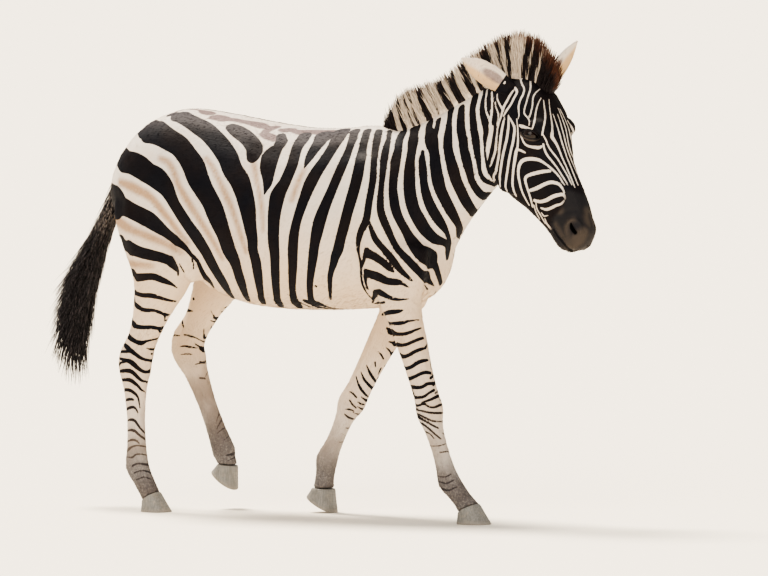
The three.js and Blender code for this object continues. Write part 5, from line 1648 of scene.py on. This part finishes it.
def joinEars(points, faces):
    base = addObject("skin base", buildMesh("skin base", points, faces))
    for name in ears:
        ear = makeEar(name)
        union = base.modifiers.new("join", "BOOLEAN")
        union.operation = "UNION"
        union.solver = "MANIFOLD"
        union.object = ear
    points, faces = readMesh(evaluated(base))
    for thing in [base] + [o for o in scene.objects if o.name.startswith("ear")]:
        bpy.data.objects.remove(thing)
    near = np.zeros(len(points))
    for name in ears:
        at, gap = alongEar(points, name)
        near = np.maximum(near, smoothStep(-0.35, -0.2, at) * smoothStep(0.22, 0.1, at)
                          * smoothStep(0.07, 0.045, gap))
    return relax(points, faces, 5, near), faces


def earMarks(points, normals, marks):  # the ears' own colours over the coat's marks, and painted warm shade on the lower edge of each ear's inside
    for name in ears:
        root, along, face, side = earAxes(name)
        at, gap = alongEar(points, name)
        on = (at > 0.16) & (at < 1.1) & (gap < 0.05)
        inner = on & (normals @ face > 0.15)
        outer = on & ~inner
        over = (points - root) @ side * (-1 if name == "right" else 1)
        wobble = 0.03 * np.sin((points @ side) * 160)
        band = np.maximum(at + wobble - 0.88, np.minimum(at + wobble - 0.44, 0.58 - at - wobble))
        marks["dark"] = np.where(outer, limited(band * earLength), marks["dark"])
        marks["dark"] = np.where(inner, limited((0.2 - at) * earLength), marks["dark"])
        # Painted warm shade: the lower edge of each ear's inside goes cream-tan, as shade lit by warm
        # reflected light and by light through the thin rim.
        marks["cream"] = np.where(inner, smoothStep(0, 0.017, over), marks["cream"])
        for other in ("muzzle", "lips", "hollowShade", "back", "shadow", "smudge"):
            none = -stripePlan["limit"] if other in ("shadow", "smudge") else 0
            marks[other] = np.where(on, none, marks[other])
        spot = np.hypot((at - 0.37) * 0.42, (over + 0.002) / earLength) * earLength
        blot = np.minimum(limited(0.013 - 0.8 * spot), 0.0015)
        marks["smudge"] = np.where(inner, blot, marks["smudge"])
    return marks


# Hooves: length and width of the sole by kind, and where each foot stands (millimetres).
hoofSizes = {"fore": (118, 96), "hind": (108, 88)}
feet = {
    "right_fore_hoof": ("fore", (423, 0), -118, 0.0),
    "left_fore_hoof": ("fore", (-330, 25), 118, 0.5),
    "right_hind_hoof": ("hind", (-826, 0), -122, 0.0),
    "left_hind_hoof": ("hind", (-722, 92), 122, 0.62),
}
# Rings across the wall stand out by ringHeight, a share of the hoof's width.
hoofPlan = {"rows": 40, "sides": 72, "ringHeight": 0.006, "rings": 7, "dull": "#7b7975",
            "grain": "#92908b", "scuff": "#a59c8e", "ring": "#5c5b59", "dust": "#a3988a"}


def makeHoof(name, material):
    kind, at, side, pitch = feet[name]
    length, width = hoofSizes[kind]
    half = length / 2
    turn = np.array([[math.cos(pitch), math.sin(pitch)], [-math.sin(pitch), math.cos(pitch)]])
    angle = np.linspace(0, 2 * math.pi, hoofPlan["sides"], endpoint=False)
    rings, heights = [], []
    for t in np.linspace(0, 1, hoofPlan["rows"]):
        toe = np.array((half, 0)) * (1 - t) + np.array((half - 46, 66)) * t
        heel = np.array((-half, 0)) * (1 - t) + np.array((-half + 6, 34)) * t
        wide = width / 2 - 8 * t - 1.5 * math.sin(math.pi * t)
        tuck = 1 - 0.05 * math.exp(-t * 40) - 0.03 * math.exp((t - 1) * 30)
        tuck += hoofPlan["ringHeight"] * math.sin(t * hoofPlan["rings"] * 2 * math.pi)
        middle = toe * 0.52 + heel * 0.48
        reach = np.where(np.cos(angle) > 0, 0.48, 0.52) * tuck
        power = np.where(np.cos(angle) > 0, 2 / 2.1, 2 / 2.3)
        along = np.sign(np.cos(angle)) * np.abs(np.cos(angle)) ** power * reach
        flat = middle + along[:, None] * (toe - heel)
        across = np.sign(np.sin(angle)) * np.abs(np.sin(angle)) ** power * wide * tuck
        placed = np.array(at) + flat @ turn.T
        low = np.maximum(placed[:, 1], 0)  # the tipped hooves stand on a small flat
        rings.append(np.stack([placed[:, 0], side + across, low], axis=1) / 1000)
        heights.append(np.full(len(angle), t))
    points, faces = closedLoft(np.array(rings))
    hoof = addObject(name + "_horn", buildMesh(name + "_horn", points + (withersX, 0, 0), faces))
    writeMarks(hoof.data, {"high": np.concatenate([np.concatenate(heights), [0, 1]])})
    hoof.data.materials.append(material)
    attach(hoof, "root")
    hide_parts(name)


# Hoof horn: dull grey, grown in rings from the hairline, scuffed and dusty near the ground.
def makeHornMaterial():
    material, tree, shader = newMaterial("grey hoof horn", {"Roughness": 0.55})
    height = put(tree, "mark", attribute_name="high")
    grain = strands(tree, (260, 260, 30), 4.0)
    blotch = put(tree, "noise", put(tree, "place"), 55.0, 4.0)
    ring = put(tree, "sine", put(tree, "add", put(tree, "times", height, 88.0),
                                 put(tree, "times", blotch, 5.0)))
    colour = put(tree, "mix", put(tree, "ramp", grain, 0.3, 0.75), hoofPlan["dull"], hoofPlan["grain"])
    for value, low, high, strength, over in ((blotch, 0.5, 0.75, 0.5, "scuff"),
                                             (ring, 0.2, 1.0, 0.16, "ring"),
                                             (height, 0.3, 0.0, 0.45, "dust")):
        share = put(tree, "times", put(tree, "ramp", value, low, high), strength)
        colour = put(tree, "mix", share, colour, hoofPlan[over])
    tree.links.new(colour, shader.inputs["Base Color"])
    rough = put(tree, "add", put(tree, "times", ring, 0.3), grain)
    tree.links.new(put(tree, "bump", rough, 0.4, 0.0012), shader.inputs["Normal"])
    return material


def makeEye(name, side, material):
    centre, level, over, out = eyeFrame(side)
    slopes = np.linspace(0, math.pi, 64)[1:-1]
    turns = np.linspace(0, 2 * math.pi, 64, endpoint=False)
    radius = eyePlan["radius"] - 0.0004 + eyePlan["bulge"] * smoothStep(0.75, 0.2, slopes)
    flat = (np.sin(slopes) * radius)[:, None]
    rings = (out * (np.cos(slopes) * radius)[:, None, None]
             + level * (flat * np.cos(turns))[:, :, None] + over * (flat * np.sin(turns))[:, :, None])
    points, faces = closedLoft(rings + centre)
    eye = addObject(name + "_ball", buildMesh(name + "_ball", points + (withersX, 0, 0), faces))
    rel = points - centre
    across, up, front = rel @ level, rel @ over, rel @ out
    iris = np.where(front > 0, np.hypot(across, up) / eyePlan["irisRadius"], 1.5)
    half = eyePlan["pupilHalf"]
    pupil = np.where(front > 0, np.hypot(across / half[0], up / half[1]), 3)
    writeMarks(eye.data, {"iris": iris, "pupil": pupil})
    eye.data.materials.append(material)
    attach(eye, "root")
    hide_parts(name)


# Wet eye: dark brown iris with fine spokes, black pupil, glassy with a clear coat of tears.
def makeEyeMaterial():
    material, tree, shader = newMaterial("wet dark eye", {
        "Roughness": 0.12, "Specular IOR Level": 0.3, "Coat Weight": 0.35, "Coat Roughness": 0.02})
    fleck = put(tree, "noise", put(tree, "place"), 900.0, 3.0)
    iris = put(tree, "mix", fleck, eyePlan["iris"], eyePlan["spokes"])
    inner, edge = (put(tree, "mark", attribute_name=name) for name in ("pupil", "iris"))
    colour = put(tree, "mix", put(tree, "ramp", inner, 0.9, 1.1), eyePlan["pupil"], iris)
    colour = put(tree, "mix", put(tree, "ramp", edge, 0.86, 0.96), colour, eyePlan["white"])
    tree.links.new(colour, shader.inputs["Base Color"])
    return material


makeCamera()
makeStudio()
print("camera and studio made")
skinPoints, skinFaces = shapeLids(*joinEars(*makeSkin()))
skinPoints, skinFaces = carveSkin(skinPoints, skinFaces)
print("skin made", len(skinPoints), len(skinFaces))
skinTree = BVHTree.FromPolygons(skinPoints.tolist(), skinFaces.tolist())
stripes = layStripes(skinTree)
print("stripes laid", [len(kind) for kind in stripes])
skinPoints, skinFaces = fitMesh(skinPoints, skinFaces, stripes)
print("skin fitted", len(skinPoints), len(skinFaces))
skinNormals = pointNormals(skinPoints, skinFaces)
marks = earMarks(skinPoints, skinNormals, coatMarks(skinPoints, skinNormals, stripes))
marks = lidMarks(skinPoints, marks)
skin = addObject("skin", buildMesh("skin", skinPoints + (withersX, 0, 0), skinFaces))
writeMarks(skin.data, marks)
skin.data.materials.append(makeCoatMaterial("short striped coat", True))
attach(skin, "root")
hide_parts(*fleshNodes, "right_ear", "left_ear")
makeCoat(skinPoints, skinNormals, skinFaces, marks)
makeMane()
makeTail()
horn = makeHornMaterial()
for foot in feet:
    makeHoof(foot, horn)
wet = makeEyeMaterial()
for eyeName, eyeSide in (("right_eye", -1), ("left_eye", 1)):
    makeEye(eyeName, eyeSide, wet)
print("hair, hooves and eyes made")
